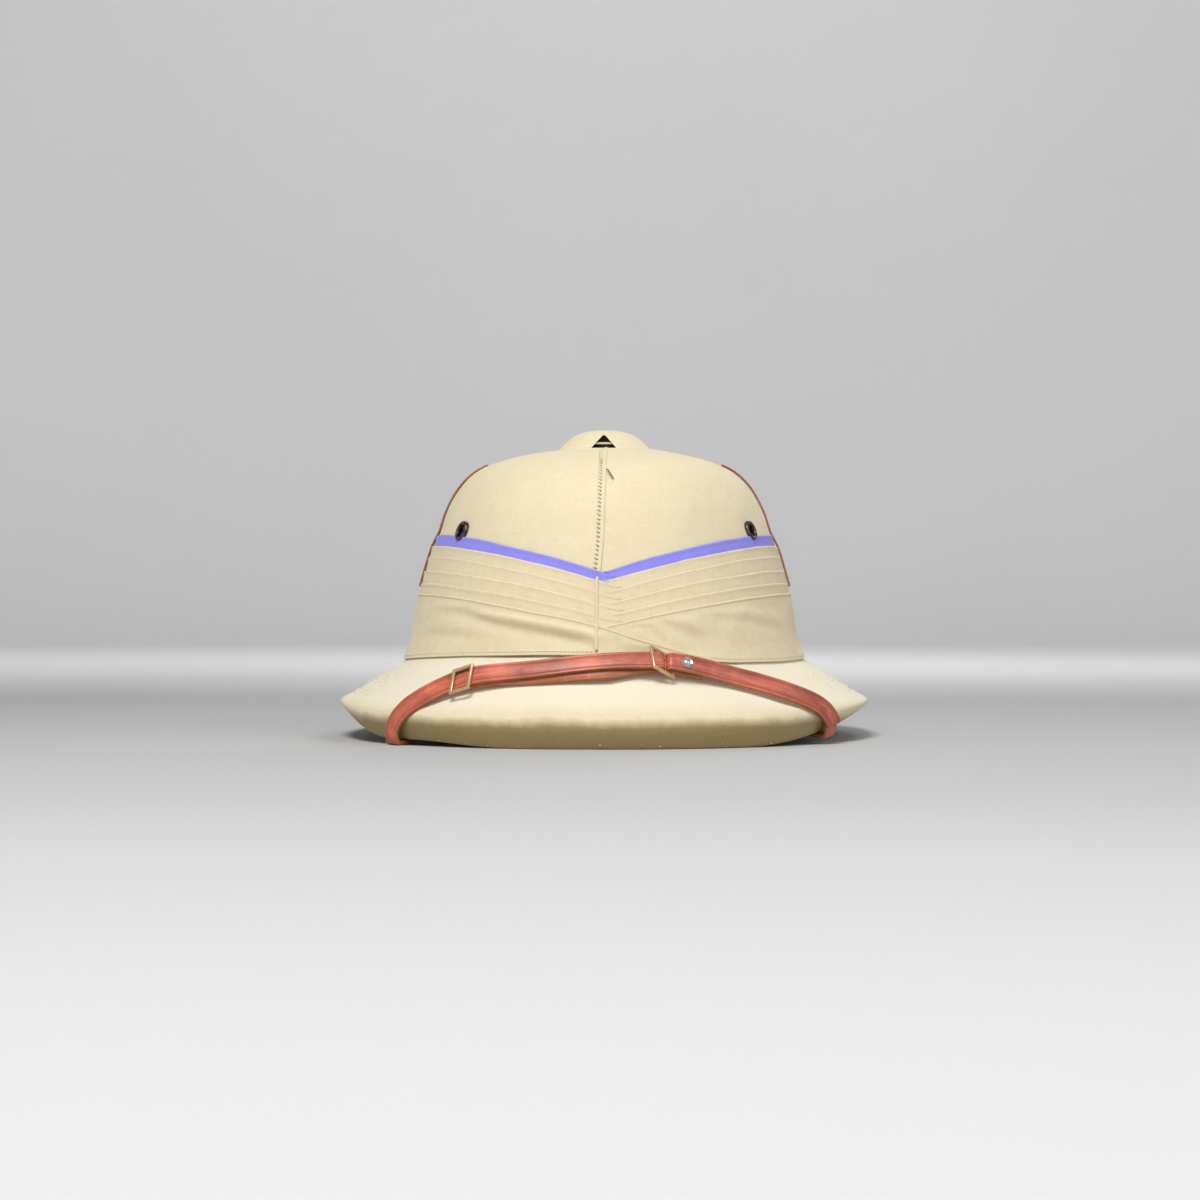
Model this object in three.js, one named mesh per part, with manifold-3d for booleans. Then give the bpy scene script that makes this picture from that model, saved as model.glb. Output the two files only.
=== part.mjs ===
// Pith helmet: a cloth-covered pith shell with a vent cap, eyelets, a pleated pugaree and a chin strap.
// Millimetres, +Z up. The origin is at the middle of the helmet's plan, on the surface it rests on.
// The front faces -Y, and +X is the wearer's left.
import * as THREE from 'three';
import { mergeVertices } from 'three/addons/utils/BufferGeometryUtils.js';
import Module from 'manifold-3d';

const wasm = await Module();
wasm.setup();

const degree = Math.PI / 180;
const gap = 0.35;
const roundSteps = 56;

// The crown is a stack of ovals. Each is longer than it is wide, and their middles lean back a little.
const crown = {
  lengthRatio: 1.2,
  middleY: -16.5,
  leanBack: 0.05,
  wall: 7,
  baseHeight: 41,
  topHeight: 154.6,
};
const crownSections = [
  { z: 41, halfWidth: 107.5 },
  { z: 50, halfWidth: 104.4 },
  { z: 66, halfWidth: 100.8 },
  { z: 80, halfWidth: 98 },
  { z: 95, halfWidth: 94.4 },
  { z: 107, halfWidth: 91.8 },
  { z: 120, halfWidth: 86.7 },
  { z: 132, halfWidth: 80.8 },
  { z: 138.5, halfWidth: 76.2 },
  { z: 143.5, halfWidth: 71.2 },
  { z: 146.8, halfWidth: 65 },
  { z: 149, halfWidth: 58.5 },
  { z: 151.8, halfWidth: 48 },
  { z: 153.6, halfWidth: 38 },
  { z: 154.6, halfWidth: 29 },
];

// The brim's plan is a rounded oval that reaches further behind its widest line than before it.
const brim = {
  halfWidth: 142.5,
  widestY: -11,
  frontReach: 166,
  backReach: 188,
  roundness: 2.2,
  thickness: 6,
  bendInset: 3,
  bendHeightFront: 15.5,
  bendHeightSide: 20.8,
  rimInset: 0.9,
  rimLift: 14.5,
  liftFrom: 30 * degree,
  liftTo: 82 * degree,
};

const ventHole = { radius: 12 };
const ventCap = { radius: 26, height: 10.3, wall: 2, steps: 24 };
const ventWindow = { count: 4, halfWidth: 6.6, sill: 1.4, apex: 7.4 };

// Eyelets, placed by their angle round the crown from the front and their height.
const eyelet = { outerRadius: 5.4, holeRadius: 2.8, barrelRadius: 3.4, barrelLength: 3.2, flange: 1.2 };
const eyelets = [
  { side: 'right', angle: -52, z: 108.4 },
  { side: 'left', angle: 57, z: 108.8 },
];

// Fold lines of the pugaree. Each runs level round the sides and the back, and dips to a point in front.
const dipSpread = 75 * degree;
const foldLines = [
  { name: 'stripe top', side: 107.4, front: 87.2 },
  { name: 'stripe foot', side: 101.6, front: 82.6 },
  { name: 'second fold', side: 96, front: 77 },
  { name: 'third fold', side: 88.4, front: 71.2 },
  { name: 'fourth fold', side: 81.8, front: 65.4 },
  { name: 'wrap top', side: 76.4, front: 60 },
];
const hemHeight = 41.6;
const stripeThickness = 1.6;

// A pleat stands proud at its rolled top edge and lies flat where the next one covers its foot.
const pleatProfile = [
  { down: 0, out: 0 },
  { down: 0, out: 1.5 },
  { down: 0.14, out: 2.4 },
  { down: 1, out: 1 },
  { down: 1, out: 0 },
];

// The broad lower wrap goes once round. Its outer end crosses its inner end and runs down to the hem.
const wrap = { thickness: 1.7, stepsUnder: 1, stepsOver: 5, riseFrom: 318, riseTo: 350 };
const wrapTail = [
  { angle: 0, z: 60 },
  { angle: 12, z: 53.4 },
  { angle: 23, z: 47.6 },
  { angle: 33, z: 43 },
];

const seam = { width: 2.8, thickness: 1, top: 153.8, frontFoot: 88.6, backFoot: 108.4 };
const sideStrip = { width: 7, thickness: 1.4, top: 147, foot: 77, angle: 88, bandTop: 109.5 };
const welt = { width: 1.8, thickness: 0.9, top: 82, foot: 43, angle: -0.6 };

// Chin strap: where the front run lies, from the middle to the rim, and which way its upper edge points.
const strap = { width: 9.5, thickness: 2, layerSpacing: 2.4, turnSpacing: 3.9 };
const longRun = [
  { x: -103, y: -136.4, z: 10.8, edge: [-0.7, 0.7, 0.1] },
  { x: -99.4, y: -138.8, z: 15.4, edge: [-0.66, 0.66, 0.36] },
  { x: -95, y: -140.4, z: 20, edge: [-0.55, 0.6, 0.58] },
  { x: -87.9, y: -141.2, z: 24.6, edge: [-0.38, 0.52, 0.76] },
  { x: -75, y: -143.4, z: 30.9, edge: [-0.24, 0.48, 0.84] },
  { x: -62.5, y: -147.1, z: 35.2, edge: [-0.12, 0.47, 0.88] },
  { x: -39.1, y: -152, z: 37.8, edge: [0, 0.52, 0.85] },
  { x: -21.5, y: -154.4, z: 40, edge: [0, 0.58, 0.81] },
  { x: -2, y: -155, z: 42, edge: [0, 0.62, 0.78] },
  { x: 14, y: -154.2, z: 43, edge: [0, 0.62, 0.78] },
  { x: 30.3, y: -151.8, z: 43.4, edge: [0, 0.6, 0.8] },
];
const shortRun = [
  { x: 117.8, y: -118.4, z: 10.6, edge: [0.7, 0.7, 0.1] },
  { x: 115.2, y: -122.4, z: 15.8, edge: [0.66, 0.66, 0.36] },
  { x: 109.5, y: -126.6, z: 20.8, edge: [0.55, 0.6, 0.56] },
  { x: 98, y: -131.8, z: 26, edge: [0.4, 0.54, 0.74] },
  { x: 79, y: -136.4, z: 32.2, edge: [0.26, 0.48, 0.84] },
  { x: 60.3, y: -141.4, z: 37, edge: [0.12, 0.5, 0.86] },
];
const longReturn = { to: -57, drop: 3.6, after: 7, over: 18 };
const shortReturn = { to: 54, drop: 0, after: 4, over: 8 };

// Where each strap crosses the rim, by its angle from the front. The way it takes round and under the rim
// is given by how much further round it is, how far in from the brim's tip, and how far above the rim.
const crossing = { long: 46.5, short: 52.5 };
const rimRoute = [
  { turn: 0, inset: -1.7, rise: 4.5 },
  { turn: 0.1, inset: -1.3, rise: 0.8 },
  { turn: 0.3, inset: 0.1, rise: -1.4 },
  { turn: 0.6, inset: 2.8, rise: -1.5 },
  { turn: 1, inset: 6.4, rise: -1.5 },
  { turn: 1.4, inset: 8.8, rise: -0.8 },
  { turn: 1.8, inset: 10.2, rise: 2.2 },
];

// From there it follows the brim's underside up to a post, by the share of the way from crown to bend.
const underRoute = [
  { turn: 4, share: 0.66, standOff: 3 },
  { turn: 8, share: 0.3, standOff: 4.5 },
];
const post = { turn: 16, height: 54, width: 12, depth: 4, tall: 10, backing: 1.15, clearance: 0.7 };
const postApproach = { below: 13, turnBefore: 3.25 };

const slide = { x: -69, length: 11, height: 13.2, bar: 1.3 };
const buckle = { frontBar: -3.9, shortBar: 6.8, height: 13.4, bar: 1.3, hidden: 1 };
const rivet = { x: 45, outerRadius: 3, centreRadius: 1.8, thickness: 0.7, centreRise: 0.4 };

const finishes = {
  cloth: { color: 0xe8dfc0, roughness: 0.92, metalness: 0 },
  pugaree: { color: 0xded3b2, roughness: 0.92, metalness: 0 },
  blue: { color: 0x8f91e0, roughness: 0.85, metalness: 0 },
  tan: { color: 0xb58a66, roughness: 0.75, metalness: 0 },
  leather: { color: 0x7c3f30, roughness: 0.4, metalness: 0 },
  brass: { color: 0xc9a067, roughness: 0.3, metalness: 1 },
  bronze: { color: 0x5b5058, roughness: 0.35, metalness: 1 },
  silver: { color: 0xc8c4bd, roughness: 0.3, metalness: 1 },
};

// Linear reading of a table by one of its columns.
function readTable(rows, key, column, value) {
  const rising = rows[0][key] <= rows[rows.length - 1][key];
  const sorted = rising ? rows : [...rows].reverse();
  if (value <= sorted[0][key]) return sorted[0][column];
  for (let i = 1; i < sorted.length; i += 1) {
    if (value <= sorted[i][key]) {
      const share = (value - sorted[i - 1][key]) / (sorted[i][key] - sorted[i - 1][key]);
      return THREE.MathUtils.lerp(sorted[i - 1][column], sorted[i][column], share);
    }
  }
  return sorted[sorted.length - 1][column];
}

// The angle from the front, from 0 to 180 degrees, whichever side it is on.
function fromFront(phi) {
  return Math.acos(THREE.MathUtils.clamp(Math.cos(phi), -1, 1));
}

// A point of the crown's outer face at an angle and a height, moved out by an offset in plan.
function crownPoint(phi, z, offset = 0) {
  const halfWidth = readTable(crownSections, 'z', 'halfWidth', z);
  const middle = crown.middleY + crown.leanBack * (z - crown.baseHeight);
  return new THREE.Vector3(
    (halfWidth + offset) * Math.sin(phi),
    middle - (crown.lengthRatio * halfWidth + offset) * Math.cos(phi),
    z,
  );
}

// A point of the brim's plan outline, moved in by an inset.
function brimPoint(phi, inset, z) {
  const [s, c] = [Math.sin(phi), Math.cos(phi)];
  const power = 2 / brim.roundness;
  const reach = (c > 0 ? brim.frontReach : brim.backReach) - inset;
  return new THREE.Vector3(
    (brim.halfWidth - inset) * Math.sign(s) * Math.abs(s) ** power,
    brim.widestY - reach * Math.sign(c) * Math.abs(c) ** power,
    z,
  );
}

// How high the rim stands: on the surface in front and behind, lifted along both sides.
function rimHeight(phi) {
  const fromEnd = Math.min(fromFront(phi), Math.PI - fromFront(phi));
  return brim.rimLift * THREE.MathUtils.smoothstep(fromEnd, brim.liftFrom, brim.liftTo);
}

function bendHeight(phi) {
  return THREE.MathUtils.lerp(brim.bendHeightFront, brim.bendHeightSide, Math.sin(phi) ** 2);
}

// The outer face of the shell as rows from the vent hole down to the rim.
const crownRows = [...crownSections].reverse().map(({ z }) => (phi) => crownPoint(phi, z));
const brimBase = (phi) => crownPoint(phi, crown.baseHeight);
const brimBend = (phi) => brimPoint(phi, brim.bendInset, bendHeight(phi));
const brimTip = (phi) =>
  brimPoint(phi, 0, THREE.MathUtils.lerp(rimHeight(phi), bendHeight(phi), 0.58));
const brimRim = (phi) => brimPoint(phi, brim.rimInset, rimHeight(phi));
const brimSlope = (share) => (phi) => brimBase(phi).lerp(brimBend(phi), share);

// A row moved into the shell along its outer face's normal.
function insideOf(row, next, depth) {
  return (phi) => {
    const here = row(phi);
    const along = row(phi + degree).sub(row(phi - degree));
    const down = next(phi).sub(here);
    return here.addScaledVector(along.cross(down).normalize(), depth);
  };
}

function geometryOf(vertices, faces) {
  const geometry = new THREE.BufferGeometry();
  const numbers = vertices.flatMap((v) => v.toArray());
  geometry.setAttribute('position', new THREE.Float32BufferAttribute(numbers, 3));
  geometry.setIndex(faces.flat());
  return geometry;
}

// Two triangles over the four corners of a grid cell.
const cell = (a, b, c, d) => [
  [a, b, c],
  [a, c, d],
];

// A solid ring: the rows are the corners of its section, in turn, and each goes round the helmet.
function ringGeometry(rows, steps = roundSteps) {
  const vertices = rows.flatMap((row) =>
    Array.from({ length: steps }, (_, k) => row((2 * Math.PI * k) / steps)),
  );
  const at = (i, k) => (i % rows.length) * steps + (k % steps);
  const faces = rows.flatMap((_, i) =>
    Array.from({ length: steps }, (_unused, k) =>
      cell(at(i, k), at(i + 1, k), at(i + 1, k + 1), at(i, k + 1)),
    ).flat(),
  );
  return geometryOf(vertices, faces);
}

// A solid sheet between an outer and an inner face, each a function of two shares from 0 to 1.
function sheetGeometry(across, along, outer, inner) {
  const vertices = [];
  for (const face of [outer, inner]) {
    for (let i = 0; i <= across; i += 1) {
      for (let k = 0; k <= along; k += 1) vertices.push(face(i / across, k / along));
    }
  }
  const at = (side, i, k) => side * (across + 1) * (along + 1) + i * (along + 1) + k;
  const faces = [];
  for (let i = 0; i < across; i += 1) {
    for (let k = 0; k < along; k += 1) {
      faces.push(...cell(at(0, i, k), at(0, i, k + 1), at(0, i + 1, k + 1), at(0, i + 1, k)));
      faces.push(...cell(at(1, i, k), at(1, i + 1, k), at(1, i + 1, k + 1), at(1, i, k + 1)));
    }
  }
  for (let i = 0; i < across; i += 1) {
    faces.push(...cell(at(0, i, 0), at(0, i + 1, 0), at(1, i + 1, 0), at(1, i, 0)));
    faces.push(...cell(at(0, i + 1, along), at(0, i, along), at(1, i, along), at(1, i + 1, along)));
  }
  for (let k = 0; k < along; k += 1) {
    faces.push(...cell(at(0, 0, k + 1), at(0, 0, k), at(1, 0, k), at(1, 0, k + 1)));
    faces.push(...cell(at(0, across, k), at(0, across, k + 1), at(1, across, k + 1), at(1, across, k)));
  }
  return geometryOf(vertices, faces);
}

// The same mesh as a solid that can be joined and cut, turned right side out.
function solidOf(geometry) {
  const bare = geometry.clone();
  bare.deleteAttribute('normal');
  bare.deleteAttribute('uv');
  const merged = mergeVertices(bare, 1e-4);
  const build = (triVerts) =>
    new wasm.Manifold(
      new wasm.Mesh({ numProp: 3, vertProperties: merged.attributes.position.array, triVerts }),
    );
  const solid = build(new Uint32Array(merged.index.array));
  return solid.volume() > 0 ? solid : build(new Uint32Array(merged.index.array).reverse());
}

function geometryFrom(solid) {
  const { vertProperties, triVerts } = solid.getMesh();
  const geometry = new THREE.BufferGeometry();
  geometry.setAttribute('position', new THREE.BufferAttribute(vertProperties, 3));
  geometry.setIndex(new THREE.BufferAttribute(triVerts, 1));
  return geometry;
}

const joined = (geometries) => geometryFrom(geometries.map(solidOf).reduce((a, b) => a.add(b)));
const cut = (geometry, tools) =>
  geometryFrom(tools.map(solidOf).reduce((solid, tool) => solid.subtract(tool), solidOf(geometry)));

const group = new THREE.Group();

function addPiece(name, geometry, finish) {
  const mesh = new THREE.Mesh(
    geometryFrom(solidOf(geometry)),
    new THREE.MeshStandardMaterial(finishes[finish]),
  );
  mesh.geometry.computeVertexNormals();
  mesh.name = name;
  group.add(mesh);
}

// A frame on the crown's outer face: its place, the way round it and the way out of it.
function crownFrame(phi, z) {
  const place = crownPoint(phi, z);
  const round = crownPoint(phi + degree, z).sub(crownPoint(phi - degree, z)).normalize();
  const up = crownPoint(phi, z + 1).sub(crownPoint(phi, z - 1)).normalize();
  return { place, round, out: round.clone().cross(up).normalize() };
}

// A shape that was made along its own +Z is put at a place with +Z along a direction.
function placed(geometry, { place, round, out }, shift = 0) {
  const matrix = new THREE.Matrix4().makeBasis(round, out.clone().cross(round), out);
  matrix.setPosition(place.clone().addScaledVector(out, shift));
  return geometry.applyMatrix4(matrix);
}

function upright(radius, length, sides = 24) {
  return new THREE.CylinderGeometry(radius, radius, length, sides).rotateX(Math.PI / 2);
}

function shellGeometry() {
  const { radius } = ventHole;
  const hole = (z) => (phi) =>
    new THREE.Vector3(radius * Math.sin(phi), capMiddle - radius * Math.cos(phi), z);
  const slopes = [0.5, 0.9].map(brimSlope);
  const outer = [...crownRows, ...slopes, brimBend, brimTip, brimRim];
  const lining = [0, 3, 5, 7, 8, 10, 12, 13].map((i) =>
    insideOf(crownRows[i], crownRows[i + 1] ?? slopes[0], crown.wall),
  );
  const under = [insideOf(slopes[0], slopes[1], brim.thickness)];
  const bendUnder = (phi) =>
    brimPoint(phi, brim.bendInset + brim.thickness, bendHeight(phi) - brim.thickness * 0.9);
  const rimUnder = (phi) => brimPoint(phi, brim.rimInset + brim.thickness, rimHeight(phi));
  const inner = [...lining, ...under, bendUnder, rimUnder].reverse();
  const rows = [hole(crown.topHeight), ...outer, ...inner, hole(crown.topHeight - crown.wall)];
  const holes = eyelets.map(({ angle, z }) =>
    placed(upright(eyelet.barrelRadius + gap, 4 * crown.wall), crownFrame(angle * degree, z)),
  );
  return cut(ringGeometry(rows), holes);
}

const capMiddle = crown.middleY + crown.leanBack * (crown.topHeight - crown.baseHeight);

// A low dome with a small pointed window on each side.
function capGeometry() {
  const { radius, height, wall, steps } = ventCap;
  const profile = [
    { r: 1, h: 0 },
    { r: 0.985, h: 0.16 },
    { r: 0.9, h: 0.42 },
    { r: 0.72, h: 0.7 },
    { r: 0.46, h: 0.9 },
    { r: 0.2, h: 0.98 },
    { r: 0, h: 1 },
  ];
  const outside = profile.map(({ r, h }) => new THREE.Vector2(r * radius, h * height));
  const inside = profile
    .map(({ r, h }) => new THREE.Vector2(r * (radius - wall), h * (height - wall)))
    .reverse();
  const dome = new THREE.LatheGeometry([...inside, ...outside], steps)
    .rotateX(Math.PI / 2)
    .translate(0, capMiddle, crown.topHeight + gap);
  const windows = Array.from({ length: ventWindow.count }, (_, i) => {
    const outline = new THREE.Shape([
      new THREE.Vector2(-ventWindow.halfWidth, ventWindow.sill),
      new THREE.Vector2(ventWindow.halfWidth, ventWindow.sill),
      new THREE.Vector2(0, ventWindow.apex),
    ]);
    return new THREE.ExtrudeGeometry(outline, { depth: radius, bevelEnabled: false })
      .translate(0, 0, radius * 0.62)
      .rotateX(Math.PI / 2)
      .rotateZ((i * 2 * Math.PI) / ventWindow.count)
      .translate(0, capMiddle, crown.topHeight + gap);
  });
  return cut(dome, windows);
}

// A rolled flange on the cloth with a barrel through the pith.
function eyeletGeometry({ angle, z }) {
  const { outerRadius, holeRadius, barrelRadius, barrelLength, flange } = eyelet;
  const section = [
    [holeRadius, -barrelLength],
    [barrelRadius, -barrelLength],
    [barrelRadius, 0],
    [outerRadius, 0],
    [outerRadius - 0.2, flange * 0.6],
    [(outerRadius + holeRadius) / 2, flange],
    [holeRadius, flange * 0.6],
    [holeRadius, -barrelLength],
  ].map(([r, h]) => new THREE.Vector2(r, h));
  const ring = new THREE.LatheGeometry(section, 16).rotateX(Math.PI / 2);
  return placed(ring, crownFrame(angle * degree, z), gap);
}

// The height of a fold line at an angle round the crown.
function foldHeight({ side, front }, phi) {
  return side - (side - front) * Math.max(0, 1 - fromFront(phi) / dipSpread) ** 2;
}

// A fold of the band as a closed ring between two fold lines, with a gap to the fold above it.
function pleatGeometry(upper, lower, profile) {
  const rows = profile.map(({ down, out }) => (phi) => {
    const z = THREE.MathUtils.lerp(foldHeight(upper, phi) - gap, foldHeight(lower, phi), down);
    return crownPoint(phi, z, gap + out);
  });
  return ringGeometry(rows);
}

// The lower wrap as one long sheet that starts under its own end and finishes over its start.
function wrapGeometry() {
  const topLine = foldLines[foldLines.length - 1];
  const steps = roundSteps + wrap.stepsUnder + wrap.stepsOver;
  const angleAt = (share) => (360 * (share * steps - wrap.stepsUnder)) / roundSteps;
  const lift = (angle) =>
    THREE.MathUtils.smoothstep(angle, wrap.riseFrom, wrap.riseTo) * (wrap.thickness + gap);
  const face = (out) => (down, share) => {
    const angle = angleAt(share);
    const top = angle > 360
      ? readTable(wrapTail, 'angle', 'z', angle - 360)
      : foldHeight(topLine, angle * degree);
    const roll = out > 0 && down < 0.1 ? 0.6 : 0;
    const z = THREE.MathUtils.lerp(top - gap, hemHeight, down);
    return crownPoint(angle * degree, z, gap + lift(angle) + out - roll);
  };
  return sheetGeometry(4, steps, face(wrap.thickness), face(0));
}

// A narrow strip down the crown, as a function of the offset of its inner face at a height.
function stripGeometry({ angle, width, thickness, top, foot, bandTop = foot }, offsetAt) {
  const between = [...crownSections.map(({ z }) => z), bandTop].filter((z) => z < top && z > foot);
  const heights = [foot, ...between.sort((a, b) => a - b), top];
  const face = (out) => (side, share) => {
    const z = heights[Math.round(share * (heights.length - 1))];
    const frame = crownFrame(angle * degree, z);
    return frame.place
      .addScaledVector(frame.out, offsetAt(z) + out)
      .addScaledVector(frame.round, (side - 0.5) * width);
  };
  return sheetGeometry(1, heights.length - 1, face(thickness), face(0));
}

// Places along a strap: its middle, its upper edge's direction and the way out of its face.
function stationsAlong(rows, steps) {
  const curve = new THREE.CatmullRomCurve3(rows.map(({ place }) => place), false, 'centripetal');
  return Array.from({ length: steps + 1 }, (_, k) => {
    const t = k / steps;
    const at = t * (rows.length - 1);
    const before = Math.min(Math.floor(at), rows.length - 2);
    const edge = rows[before].edge.clone().lerp(rows[before + 1].edge, at - before);
    const along = curve.getTangent(t);
    edge.addScaledVector(along, -edge.dot(along)).normalize();
    return { place: curve.getPoint(t), along, edge, out: along.clone().cross(edge).normalize() };
  });
}

// The stations of a strap that turns round a bar at its last station and lies back under itself.
function doubledBack(stations, { to, drop, after, over }, turnSteps = 6) {
  const last = stations[stations.length - 1];
  const radius = strap.turnSpacing / 2;
  const sign = last.out.y < 0 ? 1 : -1;
  const turn = Array.from({ length: turnSteps }, (_, k) => {
    const turned = ((k + 1) * Math.PI) / (turnSteps + 1);
    const out = last.out.clone()
      .multiplyScalar(Math.cos(turned))
      .addScaledVector(last.along, sign * Math.sin(turned));
    const place = last.place.clone()
      .addScaledVector(last.along, radius * Math.sin(turned))
      .addScaledVector(last.out, -sign * radius * (1 - Math.cos(turned)));
    return { place, along: last.along, edge: last.edge, out };
  });
  const back = [...stations].reverse()
    .filter(({ place }) => (place.x - to) * (last.place.x - to) > 0)
    .map(({ place, along, edge, out }) => {
      const run = THREE.MathUtils.clamp((Math.abs(place.x - last.place.x) - after) / over, 0, 1);
      const spacing = THREE.MathUtils.lerp(strap.turnSpacing, strap.layerSpacing, run);
      const moved = place.clone().addScaledVector(out, -sign * spacing).addScaledVector(edge, -drop * run);
      return { place: moved, along, edge, out: out.clone().negate() };
    });
  return [...stations, ...turn, ...back];
}

function strapGeometry(stations) {
  const { width, thickness } = strap;
  const corner = (side, layer, { place, edge, out }) =>
    place.clone().addScaledVector(edge, (side - 0.5) * width).addScaledVector(out, layer * thickness);
  const stationAt = (share) => stations[Math.round(share * (stations.length - 1))];
  return sheetGeometry(
    1,
    stations.length - 1,
    (side, share) => corner(side, 0.5, stationAt(share)),
    (side, share) => corner(side, -0.5, stationAt(share)),
  );
}

// A strap's hidden stretch, from its post along the crown's inside and the brim's underside to the rim.
const postInset = crown.wall + post.backing + post.depth / 2;

function hiddenRows(side, crossAngle) {
  const phiOf = (turn) => side * (crossAngle + turn) * degree;
  const away = (row, phi) => row(phi + side * degree).sub(row(phi - side * degree)).normalize();
  const rimRows = rimRoute.map(({ turn, inset, rise }) => {
    const phi = phiOf(turn);
    return { place: brimPoint(phi, inset, rimHeight(phi) + rise), edge: away(brimRim, phi) };
  });
  const underRows = underRoute.map(({ turn, share, standOff }) => {
    const phi = phiOf(turn);
    const row = brimSlope(share);
    const place = insideOf(row, brimSlope(share + 0.05), brim.thickness + standOff)(phi);
    return { place, edge: away(row, phi) };
  });
  const depth = postInset + post.depth / 2 + post.clearance + strap.thickness / 2;
  const wallRows = [postApproach, { below: 0, turnBefore: 0 }].map(({ below, turnBefore }) => {
    const frame = crownFrame(phiOf(post.turn - turnBefore), post.height - below);
    const place = frame.place.addScaledVector(frame.out, -depth);
    return { place, edge: frame.round.multiplyScalar(side) };
  });
  return [...rimRows, ...underRows, ...wallRows].reverse();
}

function chinStrap(run, side, crossAngle, lastRows = []) {
  const front = run.map(({ x, y, z, edge }) => ({
    place: new THREE.Vector3(x, y, z),
    edge: new THREE.Vector3(...edge),
  }));
  return stationsAlong([...hiddenRows(side, crossAngle), ...front, ...lastRows], 80);
}

// A frame on a strap at the station nearest to a place across the front.
function strapFrame(stations, x) {
  const visible = stations.filter(({ place }) => place.y < -125 && place.z > 15);
  const nearest = visible.reduce((a, b) => (Math.abs(a.place.x - x) < Math.abs(b.place.x - x) ? a : b));
  const out = nearest.out.y < 0 ? nearest.out.clone() : nearest.out.clone().negate();
  const shift = (x - nearest.place.x) / nearest.along.x;
  const place = nearest.place.clone().addScaledVector(nearest.along, shift);
  return { place, round: nearest.edge.clone().cross(out).normalize(), out };
}

function bar(width, height, depth, x, y, z) {
  return new THREE.BoxGeometry(width, height, depth).translate(x, y, z);
}

// A slide: two upright bars before the strap, rails above and below it and one bar behind it.
function slideGeometry(stations) {
  const { length, height, bar: size, x } = slide;
  const front = strap.thickness / 2 + 2 * gap + size / 2;
  const edge = (height - size) / 2;
  const rails = [-1, 1].map((side) => bar(length, size, 2 * front + size, 0, side * edge, 0));
  const posts = [-1, 1].map((side) => bar(size, height, size, (side * (length - size)) / 2, 0, front));
  const back = bar(size * 2, height, size, 0, 0, -front);
  return placed(joined([...rails, ...posts, back]), strapFrame(stations, x));
}

// A buckle, placed on the long strap's last station: a front bar over that strap, a hidden bar in its turn,
// and one more in the short strap's turn.
function buckleGeometry({ place, edge, out }) {
  const { frontBar, shortBar, height, bar: size, hidden } = buckle;
  const front = strap.thickness / 2 + 2 * gap + size / 2;
  const middle = -strap.turnSpacing / 2;
  const rails = [-1, 1].map((side) =>
    bar(
      shortBar - frontBar + size,
      size,
      front - middle + size,
      (shortBar + frontBar) / 2,
      (side * (height - size)) / 2,
      (front + middle) / 2,
    ),
  );
  const bars = [
    bar(size, height, size, frontBar, 0, front),
    bar(hidden, height, hidden, 0, 0, middle),
    bar(hidden, height, hidden, shortBar, 0, middle),
  ];
  return placed(joined([...rails, ...bars]), { place, round: edge.clone().cross(out).normalize(), out });
}

function rivetGeometry(stations) {
  const { outerRadius, centreRadius, thickness, centreRise, x } = rivet;
  const section = [
    [0, 0],
    [outerRadius, 0],
    [outerRadius, thickness * 0.6],
    [outerRadius - 0.5, thickness],
    [centreRadius, thickness * 0.6],
    [centreRadius * 0.7, thickness + centreRise * 0.6],
    [0, thickness + centreRise],
  ].map(([r, h]) => new THREE.Vector2(r, h));
  const head = new THREE.LatheGeometry(section, 14).rotateX(Math.PI / 2);
  return placed(head, strapFrame(stations, x), strap.thickness / 2 + gap);
}

// A plain block on the crown's inside that the strap's hidden end is fixed to.
function postGeometry(side, crossAngle) {
  const frame = crownFrame(side * (crossAngle + post.turn) * degree, post.height);
  return placed(new THREE.BoxGeometry(post.width, post.tall, post.depth), frame, -postInset);
}

addPiece('helmet_shell', shellGeometry(), 'cloth');
addPiece('vent_cap', capGeometry(), 'cloth');

for (const [name, angle, foot] of [
  ['crown_seam_front', 0, seam.frontFoot],
  ['crown_seam_back', 180, seam.backFoot],
]) {
  addPiece(name, stripGeometry({ ...seam, angle, foot }, () => gap), 'cloth');
}

const proudest = Math.max(...pleatProfile.map(({ out }) => out)) + 2 * gap;
const overBand = (z) => (z < sideStrip.bandTop ? proudest : gap);
for (const [name, side] of [
  ['side_strip_left', 1],
  ['side_strip_right', -1],
]) {
  addPiece(name, stripGeometry({ ...sideStrip, angle: side * sideStrip.angle }, overBand), 'tan');
}

for (const row of eyelets) addPiece(`eyelet_${row.side}`, eyeletGeometry(row), 'bronze');

const stripeProfile = pleatProfile.map(({ down, out }) => ({ down, out: Math.min(out, stripeThickness) }));
const eyeletRoom = eyelets.map(({ angle, z }) =>
  placed(upright(eyelet.outerRadius + gap, 12), crownFrame(angle * degree, z)),
);
const stripe = pleatGeometry(foldLines[0], foldLines[1], stripeProfile);
addPiece('pugaree_stripe', cut(stripe, eyeletRoom), 'blue');
for (let i = 1; i < foldLines.length - 1; i += 1) {
  addPiece(`pugaree_pleat_${i}`, pleatGeometry(foldLines[i], foldLines[i + 1], pleatProfile), 'pugaree');
}
addPiece('pugaree_wrap', wrapGeometry(), 'pugaree');

const wrapFront = 2 * wrap.thickness + 3 * gap;
const overFolds = (z) => (z < 67 ? wrapFront : proudest);
addPiece('pugaree_front_welt', stripGeometry(welt, overFolds), 'pugaree');

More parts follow.
